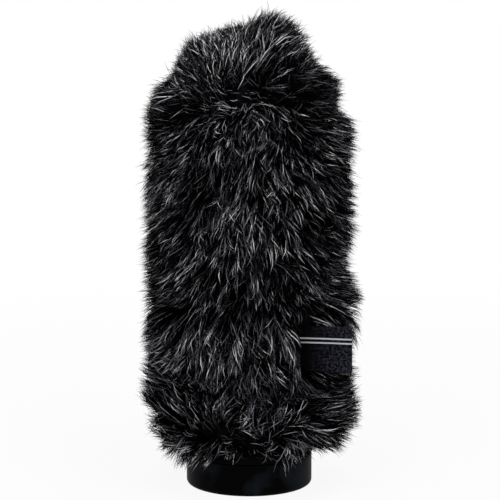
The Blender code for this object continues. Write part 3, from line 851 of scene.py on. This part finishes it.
def bush_outline(settings):
    """The section of the bush: a sleeve with a flange, and three low lips in its bore."""
    flange_low, flange_high = BUSH_LOW + 3.0 * MM, FOAM_LOW - FIT
    bore, lip = settings.bore_radius, settings.lip
    lips = []
    for i in (1, 2, 3):
        middle = BUSH_LOW + (BUSH_HIGH - BUSH_LOW) / 4 * i
        for inwards, up in ((0, -2), (lip, -0.5), (lip, 0.5), (0, 2)):
            lips.append((bore - inwards, middle + up * lip))
    return [
        (settings.bush_radius, BUSH_HIGH),
        (settings.bush_radius, flange_high),
        (SPIGOT_RADIUS, flange_high),
        (SPIGOT_RADIUS, flange_low),
        (settings.neck_radius, flange_low),
        (settings.neck_radius, BUSH_LOW),
        (bore, BUSH_LOW),
        *lips,
        (bore, BUSH_HIGH),
    ]


def foam_tube_outline(rubber, foam):
    """The section of the foam tube: a straight side, a chamfer, a spigot, a counterbore and the bore."""
    return [
        (FOAM_RADIUS, SHOULDER),
        (FOAM_RADIUS, BASE_HEIGHT + foam.chamfer),
        (rubber.collar_radius, BASE_HEIGHT + FIT),
        (SPIGOT_RADIUS, BASE_HEIGHT + FIT),
        (SPIGOT_RADIUS, FOAM_LOW),
        (rubber.bush_radius + FIT, FOAM_LOW),
        (rubber.bush_radius + FIT, BUSH_HIGH + FIT),
        (foam.bore_radius, BUSH_HIGH + FIT),
        (foam.bore_radius, SHOULDER),
    ]


def foam_nose_outline(foam):
    """The section of the foam nose: a quarter circle over a flat step and a plug, from axis to axis."""
    radius = NOSE_HIGH - DOME
    plug = foam.bore_radius - FIT
    dome = bend(90, 0, (0, DOME), radius, 40)
    return [(0, NOSE_HIGH), *dome[1:], (plug, DOME), (plug, NOSE_LOW), (0, NOSE_LOW)]


def rubber_material(settings):
    """Moulded gloss rubber: deep black, with the soft broken reflection of a slightly uneven moulded skin and
    painted bluish reflections in cloudy patches.
    """
    made, tree, shader, place = new_material("moulded_gloss_rubber")
    peel = node(tree, "TexNoise", {"Vector": place, "Scale": 1 / (1.6 * MM), "Detail": 3.0})
    cloudy = node(tree, "TexNoise", {"Vector": place, "Scale": 1 / (14 * MM), "Detail": 3.0})
    patches = node(tree, "MapRange", {0: cloudy.outputs["Fac"], 1: 0.48, 2: 0.7})
    gloss = node(tree, "MapRange", {0: cloudy.outputs["Fac"], 1: 0.3, 2: 0.7, 3: 0.36, 4: 0.50})
    # dull: cloudy patches of painted bluish reflection in the rubber's colour, which are also rougher
    dull, gloss = patches.outputs[0], gloss.outputs[0]
    colours = settings.colour, settings.reflection_colour
    dress(tree, shader, dull, *colours, peel.outputs["Fac"], 0.35, 0.05 * MM, gloss, 0.018)
    wire(tree, shader, {"IOR": 1.5})
    return made


def bush_material():
    """Moulded matte thermoplastic rubber: a dull black skin with a grey bloom in patches."""
    made, tree, shader, place = new_material("soft_matte_rubber")
    bloom = node(tree, "TexNoise", {"Vector": place, "Scale": 1 / (5 * MM), "Detail": 5.0})
    grain = node(tree, "TexNoise", {"Vector": place, "Scale": 1 / (0.4 * MM), "Detail": 2.0})
    colours = linear("#121214"), linear("#222226")
    dress(tree, shader, bloom.outputs["Fac"], *colours, grain.outputs["Fac"], 0.4, 0.04 * MM, 0.62)
    return made


def foam_material():
    """Reticulated polyurethane foam: a charcoal net of open cells 0.8 mm wide, with painted shade in the
    cells between its struts.
    """
    made, tree, shader, place = new_material("reticulated_foam")
    cells = node(
        tree, "TexVoronoi", {"Vector": place, "Scale": 1 / (0.8 * MM)}, feature="DISTANCE_TO_EDGE"
    )
    near_edge = {0: cells.outputs["Distance"], 1: 0.05, 2: 0.22, 3: 1.0, 4: 0.0}
    strut = node(tree, "MapRange", near_edge).outputs[0]
    # Painted shade: the cells between the struts are dark
    dress(tree, shader, strut, linear("#070708"), linear("#2b2b2e"), strut, 0.9, 0.25 * MM, 0.85, 0.25)
    return made


# ---- cloth, thread and label ---------------------------------------------------------------------


def cloth_round(name, path, azimuth, thickness, material, side=0, closed=False):
    """A cloth whose path (radius, height) is carried round the axis.

    side is -1 or 1 where it keeps to one side of the crown's seam, and else 0. The normal of the path's
    direction (dr, dh) is (dh, -dr), which is outwards where the path runs up. The map is the distance
    along the path, and round it at the cloth's widest radius.
    """
    middle = carried_round(path, azimuth)
    if side:
        middle[..., 0] = side * np.maximum(side * middle[..., 0], CROWN_GAP)
    way = unit(np.gradient(path, axis=0))
    normal = carried_round(np.stack([way[:, 1], -way[:, 0]], -1), azimuth)
    wide, high = np.meshgrid((azimuth - azimuth[0]) * path[:, 0].max(), run_along(path))
    cloth = np.stack([wide, high], -1)
    return sheet_of(name, middle, normal, thickness, material, BODY, cloth, closed)


def knit_material():
    """Warp-knitted polyester backing: matte black, in fine upright ribs of loops about 0.9 mm apart."""
    made, tree, shader, cloth = new_material("warp_knitted_backing", THREAD_MAP)
    waves = []
    for way, spacing in (("X", 0.9 * MM), ("Y", 0.7 * MM)):
        inputs = {"Vector": cloth, "Scale": WAVE / spacing, "Distortion": 0.6, "Detail Scale": 2.0}
        waves.append(node(tree, "TexWave", inputs, bands_direction=way).outputs["Fac"])
    loops = node(tree, "Math", {0: waves[0], 1: waves[1]}, operation="MULTIPLY").outputs[0]
    dress(tree, shader, loops, linear("#08080a"), linear("#1c1c20"), loops, 0.8, 0.15 * MM, 0.9)
    return made


def tape_material():
    """Woven twill binding tape: flat black with diagonal ribs about 0.7 mm apart."""
    made, tree, shader, cloth = new_material("twill_binding_tape", THREAD_MAP)
    inputs = {"Vector": cloth, "Scale": WAVE / (0.7 * MM), "Distortion": 0.3}
    twill = node(tree, "TexWave", inputs, bands_direction="DIAGONAL").outputs["Fac"]
    dress(tree, shader, twill, linear("#020202"), linear("#070708"), twill, 0.7, 0.1 * MM, 0.85, 0.03)
    return made


def twisted_material(name, dark, pale, pitch, roughness):
    """Twisted or braided yarn: short slanting plies a pitch apart, with painted highlights on their backs and
    painted shade between.
    """
    made, tree, shader, place = new_material(name)
    inputs = {"Vector": place, "Scale": WAVE / pitch, "Distortion": 1.5, "Detail Scale": 3.0}
    plies = node(tree, "TexWave", inputs, bands_direction="DIAGONAL").outputs["Fac"]
    # Painted highlight on the plies' backs and painted shade between them
    dress(tree, shader, plies, linear(dark), linear(pale), plies, 0.6, 0.08 * MM, roughness, 0.05)
    return made


def nylon_material():
    """Moulded nylon: matte black with a fine even spark-eroded grain."""
    made, tree, shader, place = new_material("moulded_nylon")
    noise = node(tree, "TexNoise", {"Vector": place, "Scale": 1 / (0.3 * MM), "Detail": 2.0})
    grain = noise.outputs["Fac"]
    dress(tree, shader, grain, linear("#161617"), linear("#242426"), grain, 0.5, 0.04 * MM, 0.55)
    wire(tree, shader, {"IOR": 1.53})
    return made


def label_material(settings):
    """Satin-woven polyester label: black with a blue cast, in close ribs, with two pale lines woven in.

    Its floats are drawn with a painted sheen that grows towards the free end, with painted shade of the
    overhanging fur towards the seam. The real ribs are about 0.2 mm apart and are drawn 0.45 mm apart, so
    that they show.
    """
    made, tree, shader, cloth = new_material("satin_woven_label", THREAD_MAP)
    across = node(tree, "SeparateXYZ", {0: cloth}).outputs["Y"]
    inputs = {"Vector": cloth, "Scale": WAVE / (0.45 * MM), "Distortion": 0.8, "Detail Scale": 2.0}
    ribs = node(tree, "TexWave", inputs, bands_direction="X")
    inputs = {"Vector": cloth, "Scale": 1 / (1.1 * MM), "Detail": 3.0, "Roughness": 0.7}
    picks = node(tree, "TexNoise", inputs)
    floats = node(tree, "MapRange", {0: picks.outputs["Fac"], 1: 0.45, 2: 0.60})
    place = node(tree, "SeparateXYZ", {0: node(tree, "TexCoord").outputs["Object"]})
    # Painted shade of the fur that overhangs the label near its seam, fading into painted sheen towards its
    # free end
    ends = {1: LABEL_FOOT[0] + 5 * MM, 2: LABEL_FOOT[0] + 19 * MM}
    overhang_shade_fade = node(tree, "MapRange", {0: place.outputs["X"], **ends})
    floats = node(tree, "Math", {0: floats.outputs[0], 1: overhang_shade_fade.outputs[0]}, operation="MULTIPLY")
    weave = node(tree, "Math", {0: ribs.outputs["Fac"], 1: floats.outputs[0]}, operation="MULTIPLY")
    weave = weave.outputs[0]
    colours = settings.ground_colour, settings.sheen_colour
    dress(tree, shader, weave, *colours, weave, 0.5, 0.06 * MM, 0.5, 0.02)
    colour = shader.inputs["Base Color"].links[0].from_socket
    for height in (settings.line_height, settings.line_height - settings.line_spacing):
        on_line = {0: across, 1: height, 2: settings.line_width / 2}
        line = node(tree, "Math", on_line, operation="COMPARE").outputs[0]
        colour = node(tree, "Mix", {0: line, 6: colour, 7: settings.line_colour}, data_type="RGBA")
        colour = colour.outputs[2]
    wire(tree, shader, {"Base Color": colour})
    return made


def label_cloth(settings, columns):
    """The woven strip folded double: back layer, a half turn at the free end, and the front layer.

    In the label's own plane its path is (along, aside). Each layer lies half the gap from the middle,
    and the whole label bows by a sine of its length and height.
    """
    half = settings.layer_gap / 2
    straight = LABEL_REACH - 0.6 * MM
    back = along_lines([(-0.4 * MM, half), (straight, half)], 0.5 * MM)
    fold = np.array(bend(90, -90, (straight, 0.0), half, 9))
    front = along_lines([(straight, -half), (-0.4 * MM, -half)], 0.5 * MM)
    path = np.concatenate([back, fold[1:-1], front])
    way = unit(np.gradient(path, axis=0))
    height = np.linspace(LABEL_LOW, LABEL_HIGH, columns)
    share = (path[:, 0] / LABEL_REACH)[:, None]
    level = ((height - LABEL_LOW) / (LABEL_HIGH - LABEL_LOW))[None]
    bow = settings.bow * np.sin(math.pi * share) * np.cos(1.3 * math.pi * (level - 0.4))
    curl = -settings.bow * smoothstep(0.55, 1, share) * (0.4 + level)
    aside = path[:, 1:] + bow + curl
    direction = np.array([math.cos(LABEL_LIE), math.sin(LABEL_LIE), 0])
    across = np.array([-math.sin(LABEL_LIE), math.cos(LABEL_LIE), 0])
    foot = np.array([LABEL_FOOT[0], LABEL_FOOT[1], 0])
    up = np.array([0, 0, 1])
    middle = foot + path[:, :1, None] * direction + aside[..., None] * across + height[None, :, None] * up
    normal = way[:, 1:, None] * -direction + way[:, :1, None] * across
    normal = np.broadcast_to(normal, middle.shape)
    wide, high = np.meshgrid(run_along(path), height - LABEL_LOW, indexing="ij")
    return middle, normal, np.stack([wide, high], -1)


# ---- settings ------------------------------------------------------------------------------------


def metres(name, description, default):
    """The property of a length."""
    return bpy.props.FloatProperty(name=name, description=description, default=default, unit="LENGTH")


def degrees(name, description, default):
    """The property of an angle, whose default is given in degrees."""
    angle = math.radians(default)
    return bpy.props.FloatProperty(name=name, description=description, default=angle, subtype="ANGLE")


def number(name, description, default):
    """The property of a share or another bare number."""
    return bpy.props.FloatProperty(name=name, description=description, default=default)


def whole_number(name, description, default):
    """The property of a count."""
    return bpy.props.IntProperty(name=name, description=description, default=default)


def colour_of(name, description, default):
    """The property of a colour, whose default is an sRGB hex colour."""
    shown = {"name": name, "description": description, "default": linear(default)}
    return bpy.props.FloatVectorProperty(**shown, size=4, subtype="COLOR")


class FurSettings(bpy.types.PropertyGroup):
    """Sizes and colours of the fur."""

    reach: metres("Reach", "How far the hairs stand off the skin", 13.3 * MM)
    hair_width: metres("Hair width", "Width of a drawn hair, which stands for a few fibres", 0.245 * MM)
    tuft_count: whole_number("Tufts", "Tufts over the whole fur", 7000)
    hairs_in_tuft: whole_number("Hairs in a tuft", "Hairs that grow as one tuft", 17)
    tuft_radius: metres("Tuft radius", "Radius of a tuft at its root", 1.7 * MM)
    tuft_stray: number("Tuft stray", "How far tufts stray from the way they are combed", 0.44)
    gather: number("Gather", "How closely a tuft's hairs meet at its tip", 0.62)
    hair_stray: metres("Hair stray", "How far a hair's tip strays", 1.6 * MM)
    loose_stray: metres("Loose hair stray", "How far a loose hair's tip strays", 3.0 * MM)
    hair_wave: metres("Hair wave", "Height of the wave along a hair", 0.4 * MM)
    loose_share: number("Loose hairs", "Share of hairs that leave their tuft", 0.15)
    lean_start: degrees("Lean at root", "Lean of a hair from the skin's normal at its root", 6)
    lean_end: degrees("Lean at tip", "Lean of a hair at its tip", 50)
    undercoat: metres("Undercoat", "Height of the short fibres among the hairs", 3.4 * MM)
    dark_colour: colour_of("Dark hairs", "Colour of the darkest hairs", "#010101")
    middle_colour: colour_of("Middle hairs", "Colour of most hairs", "#040404")
    # The pale, tinted and bright colours are painted sheen: highlights of the black fibres drawn into their
    # colour
    pale_sheen_colour: colour_of("Pale hairs", "Colour of the paler hairs", "#727278")
    violet_sheen_colour: colour_of("Tinted hairs", "Colour of hairs with a violet cast", "#b0b0bc")
    bright_sheen_colour: colour_of("Bright hairs", "Colour of the few brightest hairs", "#ffffff")


class RubberSettings(bpy.types.PropertyGroup):
    """Sizes and colours of the base and its bush."""

    edge: metres("Foot radius", "Radius of the base's rounded foot", 1.6 * MM)
    waist_low: metres("Waist bottom", "Height of the groove for the hem", 12.6 * MM)
    waist_high: metres("Waist top", "Height of the groove's top", 17.9 * MM)
    waist_radius: metres("Waist radius", "Radius at the groove", BASE_RADIUS - 2.7 * MM)
    collar_radius: metres("Collar radius", "Radius above the groove", BASE_RADIUS - 1.8 * MM)
    wall: metres("Wall", "Thickness of the wall at the groove", 2.0 * MM)
    floor: metres("Floor", "Thickness of the base's floor", 3.0 * MM)
    hole_radius: metres("Hole radius", "Of the hole that the bush goes through", 14.2 * MM)
    bush_radius: metres("Bush radius", "Outer radius of the bush", 13.4 * MM)
    neck_radius: metres("Bush neck radius", "Outer radius of the bush in the base's floor", 13.9 * MM)
    bore_radius: metres("Bush bore", "Radius of the bush's bore", 10.6 * MM)
    lip: metres("Lip", "How far the bush's lips stand into its bore", 0.4 * MM)
    colour: colour_of("Rubber", "Colour of the base", "#010101")
    # Painted reflection: the bluish colour of the base's cloudy patches
    reflection_colour: colour_of("Bloom", "Colour of the base where it is dull", "#15191e")


class FoamSettings(bpy.types.PropertyGroup):
    """Sizes of the foam core."""

    chamfer: metres("Chamfer", "How far up the foam is pared away", 7.3 * MM)
    bore_radius: metres("Foam bore", "Radius of the foam's bore", 10.0 * MM)
    uneven: metres("Unevenness", "How far the cut foam wanders", 0.1 * MM)


class ClothSettings(bpy.types.PropertyGroup):
    """Thicknesses of the backing and the hem's tape."""

    backing: metres("Backing", "Thickness of the knitted backing", 1.0 * MM)
    tape: metres("Tape", "Thickness of the hem's binding tape", 0.6 * MM)
    slit: metres("Seam slit", "Between the sleeve's butted edges", 0.6 * MM)


class LabelSettings(bpy.types.PropertyGroup):
    """Sizes and colours of the woven label."""

    layer: metres("Layer", "Thickness of the woven strip", 0.42 * MM)
    layer_gap: metres("Layer spacing", "Between the middles of the two layers", 0.66 * MM)
    bow: metres("Bow", "How far the label bows and curls", 0.35 * MM)
    line_height: metres("Line height", "Of the upper woven line, from the label's lower edge", 13.2 * MM)
    line_spacing: metres("Line spacing", "Between the two woven lines", 1.7 * MM)
    line_width: metres("Line width", "Width of a woven line", 0.6 * MM)
    ground_colour: colour_of("Ground", "Colour of the weave", "#020203")
    # Painted sheen: the colour of the threads where they catch the light
    sheen_colour: colour_of("Lit threads", "Colour of the weave's raised threads", "#40404d")
    line_colour: colour_of("Lines", "Colour of the two woven lines", "#a9a9b0")


class StageSettings(bpy.types.PropertyGroup):
    """Where the camera stands and how wide its view is."""

    distance: metres("Camera distance", "From the camera to the windscreen", 1.2)
    elevation: degrees("Camera elevation", "Of the camera above the windscreen's middle", 10.5)
    frame_width: metres("View width", "Width of the view at the windscreen", 197 * MM)


# ---- pieces and stage -----------------------------------------------------------------------------


def make_uneven(piece, size):
    """Moves a piece's points out from the axis by a wandering share of size, as a knife leaves cut foam."""
    points = points_of(piece.data)
    out = unit(points * np.array([1, 1, 0]))
    points += (size * 0.5 * wander(points, 13, 31))[:, None] * out
    piece.data.vertices.foreach_set("co", points.astype(np.float32).ravel())
    piece.data.update()


class WINDSCREEN_OT_fur(bpy.types.Operator):
    """Grow the fur's hairs and their undercoat"""

    bl_idname = "windscreen.fur"
    bl_label = "Fur"

    def execute(self, context):
        settings = context.scene.windscreen_fur
        material = fur_material(settings)
        hairs = grow_tufts(settings, seed=11)
        points, side, kept = hair_paths(settings, hairs)
        # A power of an even random share makes most hairs dark and few bright with painted sheen; pale adds
        # the combing's painted light and shade
        shade = np.clip(hairs["luck"] ** 2.4 + 0.14 * hairs["pale"] * hairs["luck"], 0, 1)
        # The palest hairs are drawn the thickest
        width = settings.hair_width * hairs["thickness"] * (0.85 + 0.5 * shade)
        crown = hairs["rise"] > STRAIGHT
        right = np.cos(hairs["azimuth"]) > 0
        sector = (((hairs["azimuth"] + math.pi / 2) % math.tau) / math.tau * 8).astype(int)
        front = np.sin(hairs["azimuth"]) < 0
        groups = [(f"fur_body_{i + 1}", "pile_body", ~crown & (sector == i)) for i in range(8)]
        for end, half in (("front", front), ("back", ~front)):
            for hand, quarter in (("left", half & ~right), ("right", half & right)):
                groups.append((f"fur_crown_{hand}_{end}", f"pile_crown_{hand}", crown & quarter))
        for name, stands_for, group in groups:
            chosen = group & kept
            obj = hair_mesh(name, points[chosen], side[chosen], width[chosen], shade[chosen], material)
            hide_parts(stands_for)

        rows = undercoat_rows(settings, across=220, upward=150)
        high, across, _ = rows.shape
        ends = rows[[0, -1], :, 2].mean(1)
        points, fans = with_poles(rows.reshape(-1, 3), high, across, *ends)
        faces = [grid_faces(high, across, columns_close=True), *fans]
        put_mesh("fur_undercoat", points, faces, undercoat_material(), BODY)
        return {"FINISHED"}


class WINDSCREEN_OT_rubber(bpy.types.Operator):
    """Mould the base and the bush that grips the microphone"""

    bl_idname = "windscreen.rubber"
    bl_label = "Base and bush"

    def execute(self, context):
        settings = context.scene.windscreen_rubber
        rubber = rubber_material(settings)
        fine = {"rounding": 0.4 * MM, "spacing": 0.8 * MM, "steps": 192}
        base = turned("base_moulded", base_outline(settings), rubber, "base_rubber", **fine)
        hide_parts("base_cup")
        fine = {"rounding": 0.3 * MM, "spacing": 0.8 * MM, "steps": 144}
        bush = turned("bush_moulded", bush_outline(settings), bush_material(), "bush_rubber", **fine)
        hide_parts("grip_bush")
        return {"FINISHED"}


class WINDSCREEN_OT_foam(bpy.types.Operator):
    """Cut the foam tube and its domed nose"""

    bl_idname = "windscreen.foam"
    bl_label = "Foam core"

    def execute(self, context):
        settings = context.scene.windscreen_foam
        rubber = context.scene.windscreen_rubber
        foam = foam_material()
        coarse = {"rounding": 0.8 * MM, "spacing": 2 * MM, "steps": 120}
        tube = turned("foam_core_tube", foam_tube_outline(rubber, settings), foam, "acoustic_foam", **coarse)
        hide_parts("foam_tube")
        coarse = {"rounding": 0.5 * MM, "spacing": 1.5 * MM, "steps": 120, "closed": False}
        nose = turned("foam_core_nose", foam_nose_outline(settings), foam, "acoustic_foam", **coarse)
        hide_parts("foam_nose")
        for piece in (tube, nose):
            make_uneven(piece, settings.uneven)
        return {"FINISHED"}


class WINDSCREEN_OT_cloth(bpy.types.Operator):
    """Sew the knitted backing, its crown and the hem's tape"""

    bl_idname = "windscreen.cloth"
    bl_label = "Backing and hem"

    def execute(self, context):
        settings = context.scene.windscreen_cloth
        rubber = context.scene.windscreen_rubber
        knit = knit_material()
        half = settings.backing / 2
        hem = rubber.collar_radius + FIT + half
        middle_radius = SKIN_RADIUS - half
        full = BASE_HEIGHT + 7.6 * MM
        path = [(hem, TAPE_LOW + 2.2 * MM), (hem, SKIN_LOW), (middle_radius, full), (middle_radius, SHOULDER)]
        path = along_lines(rounded(path, 1 * MM, closed=False), 2 * MM)
        half_slit = settings.slit / 2 / middle_radius
        azimuth = SEAM_AZIMUTH + np.linspace(half_slit, math.tau - half_slit, 145)
        sleeve = cloth_round("backing_knit", path, azimuth, settings.backing, knit)
        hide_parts("backing_sleeve")

        rise = np.radians(np.linspace(0.3, 89.4, 46))
        path = np.stack([middle_radius * np.cos(rise), DOME + middle_radius * np.sin(rise)], -1)
        for hand, side in (("left", -1), ("right", 1)):
            azimuth = -side * math.pi / 2 + np.linspace(0, math.pi, 73)
            name = f"crown_knit_{hand}"
            panel = cloth_round(name, path, azimuth, settings.backing, knit, side)
            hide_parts(f"crown_panel_{hand}")

        half = settings.tape / 2
        inside, outside = rubber.waist_radius + FIT + half, TAPE_OUTSIDE - half
        low = TAPE_LOW + half
        path = [(inside, TAPE_HIGH), (inside, low), (outside, low), (outside, TAPE_HIGH)]
        path = along_lines(rounded(path, 0.7 * MM, closed=False), 0.4 * MM)
        azimuth = np.arange(180) / 180 * math.tau
        twill = tape_material()
        tape = cloth_round("hem_tape", path, azimuth, settings.tape, twill, closed=True)
        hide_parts("hem_band")
        return {"FINISHED"}


class WINDSCREEN_OT_stitching(bpy.types.Operator):
    """Finish the threads, the elastic and the stiffening ring of the frame"""

    bl_idname = "windscreen.stitching"
    bl_label = "Threads, elastic and ring"

    def execute(self, context):
        thread = twisted_material("spun_polyester_thread", "#060607", "#18181b", 0.5 * MM, 0.6)
        elastic = twisted_material("braided_elastic_cord", "#0c0c0e", "#28282c", 0.7 * MM, 0.75)
        finishes = {"hem_elastic": elastic, "stiffener_ring": nylon_material()}
        for sewn in ("side_seam", "crown_ring", "crown_top", "hem", "label"):
            finishes[sewn + "_thread"] = thread
        for name, material in finishes.items():
            for slot in frame["nodes"][name].material_slots:
                slot.material = material
        return {"FINISHED"}


class WINDSCREEN_OT_label(bpy.types.Operator):
    """Weave and fold the label that swings at the side seam"""

    bl_idname = "windscreen.label"
    bl_label = "Label"

    def execute(self, context):
        settings = context.scene.windscreen_label
        middle, normal, cloth = label_cloth(settings, columns=37)
        satin = label_material(settings)
        tag = sheet_of("label_woven", middle, normal, settings.layer, satin, LABEL_BODY, cloth)
        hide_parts("label_tag")
        return {"FINISHED"}


def area_light(name, place, target, size, watts):
    """A square soft light at a place, turned to a target."""
    data = bpy.data.lights.new(name, "AREA")
    data.energy = watts
    data.shape = "SQUARE"
    data.size = size
    obj = bpy.data.objects.new(name, data)
    obj.location = place
    direction = Vector(target) - Vector(place)
    obj.rotation_euler = direction.to_track_quat("-Z", "Y").to_euler()
    bpy.context.scene.collection.objects.link(obj)


def shown_rays(tree):
    """1 for the rays that show a background: the camera's, and those that mirror it or pass through."""
    path = node(tree, "LightPath").outputs
    first = node(tree, "Math", {0: path["Is Camera Ray"], 1: path["Is Glossy Ray"]}, operation="MAXIMUM")
    both = node(tree, "Math", {0: first.outputs[0], 1: path["Is Transmission Ray"]}, operation="MAXIMUM")
    return both.outputs[0]


class WINDSCREEN_OT_stage(bpy.types.Operator):
    """Set the floor, the soft light and the camera"""

    bl_idname = "windscreen.stage"
    bl_label = "Stage"

    def execute(self, context):
        settings = context.scene.windscreen_stage
        scene = context.scene
        scene.view_settings.view_transform = "Standard"

        world = bpy.data.worlds.new("studio")
        scene.world = world
        world.use_nodes = True
        tree = world.node_tree
        lit = tree.nodes["Background"]
        wire(tree, lit, {"Color": WHITE, "Strength": 0.12})
        seen = node(tree, "Background", {"Color": WHITE, "Strength": 1.0})
        blend = node(tree, "MixShader", {0: shown_rays(tree), 1: lit.outputs[0], 2: seen.outputs[0]})
        wire(tree, tree.nodes["World Output"], {"Surface": blend.outputs[0]})

        pale, tree, shader, place = new_material("studio_floor")
        wire(tree, shader, {"Base Color": linear("#c4c4c4"), "Roughness": 0.8})
        glow = node(tree, "Emission", {"Color": WHITE, "Strength": 1.0})
        far = node(tree, "VectorMath", {0: place}, operation="LENGTH")
        fade = node(tree, "MapRange", {0: far.outputs["Value"], 1: 0.10, 2: 0.45, 3: 0.92, 4: 1.0})
        share = node(tree, "Math", {0: shown_rays(tree), 1: fade.outputs[0]}, operation="MULTIPLY")
        blend = node(tree, "MixShader", {0: share.outputs[0], 1: shader.outputs[0], 2: glow.outputs[0]})
        wire(tree, tree.nodes["Material Output"], {"Surface": blend.outputs[0]})
        corners = FLOOR_HALF * np.array([[-1, -1, 0], [1, -1, 0], [1, 1, 0], [-1, 1, 0]])
        floor = put_mesh("floor", corners, [np.array([[0, 1, 2, 3]])], pale, smooth=False)

        middle = np.array([0.0, 0.0, 0.0939])  # halfway up the windscreen, which lights and camera face
        area_light("overhead", (0.05, -0.2, 1.35), middle, size=0.8, watts=15.5)
        area_light("front_left", (-0.6, -1.15, 0.8), middle, size=0.7, watts=9)
        area_light("front_right", (0.65, -1.1, 0.7), middle, size=0.7, watts=7.5)

        # The lens is the sensor's width times the distance over the width of the view
        camera = bpy.data.cameras.new("camera")
        camera.sensor_width = SENSOR
        camera.lens = SENSOR * settings.distance / settings.frame_width
        obj = bpy.data.objects.new("camera", camera)
        el = settings.elevation
        obj.location = middle + settings.distance * np.array([0, -math.cos(el), math.sin(el)])
        obj.rotation_euler = (math.pi / 2 - el, 0, 0)
        camera.shift_x = 0.0017  # the windscreen stands this share of the view left of its middle
        scene.collection.objects.link(obj)
        scene.camera = obj
        return {"FINISHED"}


class WINDSCREEN_PT_panel(bpy.types.Panel):
    """Lists the windscreen's pieces in the sidebar"""

    bl_idname = "WINDSCREEN_PT_panel"
    bl_label = "Furry windscreen"
    bl_space_type = "VIEW_3D"
    bl_region_type = "UI"
    bl_category = "Windscreen"

    def draw(self, context):
        for operator in OPERATORS:
            self.layout.operator(operator.bl_idname)
        for group in GROUPS:
            settings = getattr(context.scene, group)
            box = self.layout.box()
            for name in settings.__annotations__:
                box.prop(settings, name)


GROUPS = {
    "windscreen_rubber": RubberSettings,
    "windscreen_foam": FoamSettings,
    "windscreen_cloth": ClothSettings,
    "windscreen_label": LabelSettings,
    "windscreen_fur": FurSettings,
    "windscreen_stage": StageSettings,
}
OPERATORS = (
    WINDSCREEN_OT_rubber,
    WINDSCREEN_OT_foam,
    WINDSCREEN_OT_cloth,
    WINDSCREEN_OT_stitching,
    WINDSCREEN_OT_label,
    WINDSCREEN_OT_fur,
    WINDSCREEN_OT_stage,
)


def register():
    for each in (*GROUPS.values(), *OPERATORS, WINDSCREEN_PT_panel):
        bpy.utils.register_class(each)
    for name, group in GROUPS.items():
        setattr(bpy.types.Scene, name, bpy.props.PointerProperty(type=group))


def unregister():
    for name in GROUPS:
        delattr(bpy.types.Scene, name)
    for each in (WINDSCREEN_PT_panel, *reversed(OPERATORS), *reversed(GROUPS.values())):
        bpy.utils.unregister_class(each)


def main():
    """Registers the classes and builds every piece."""
    register()
    bpy.ops.windscreen.rubber()
    bpy.ops.windscreen.foam()
    bpy.ops.windscreen.cloth()
    bpy.ops.windscreen.stitching()
    bpy.ops.windscreen.label()
    bpy.ops.windscreen.fur()
    bpy.ops.windscreen.stage()


if __name__ == "__main__":
    main()
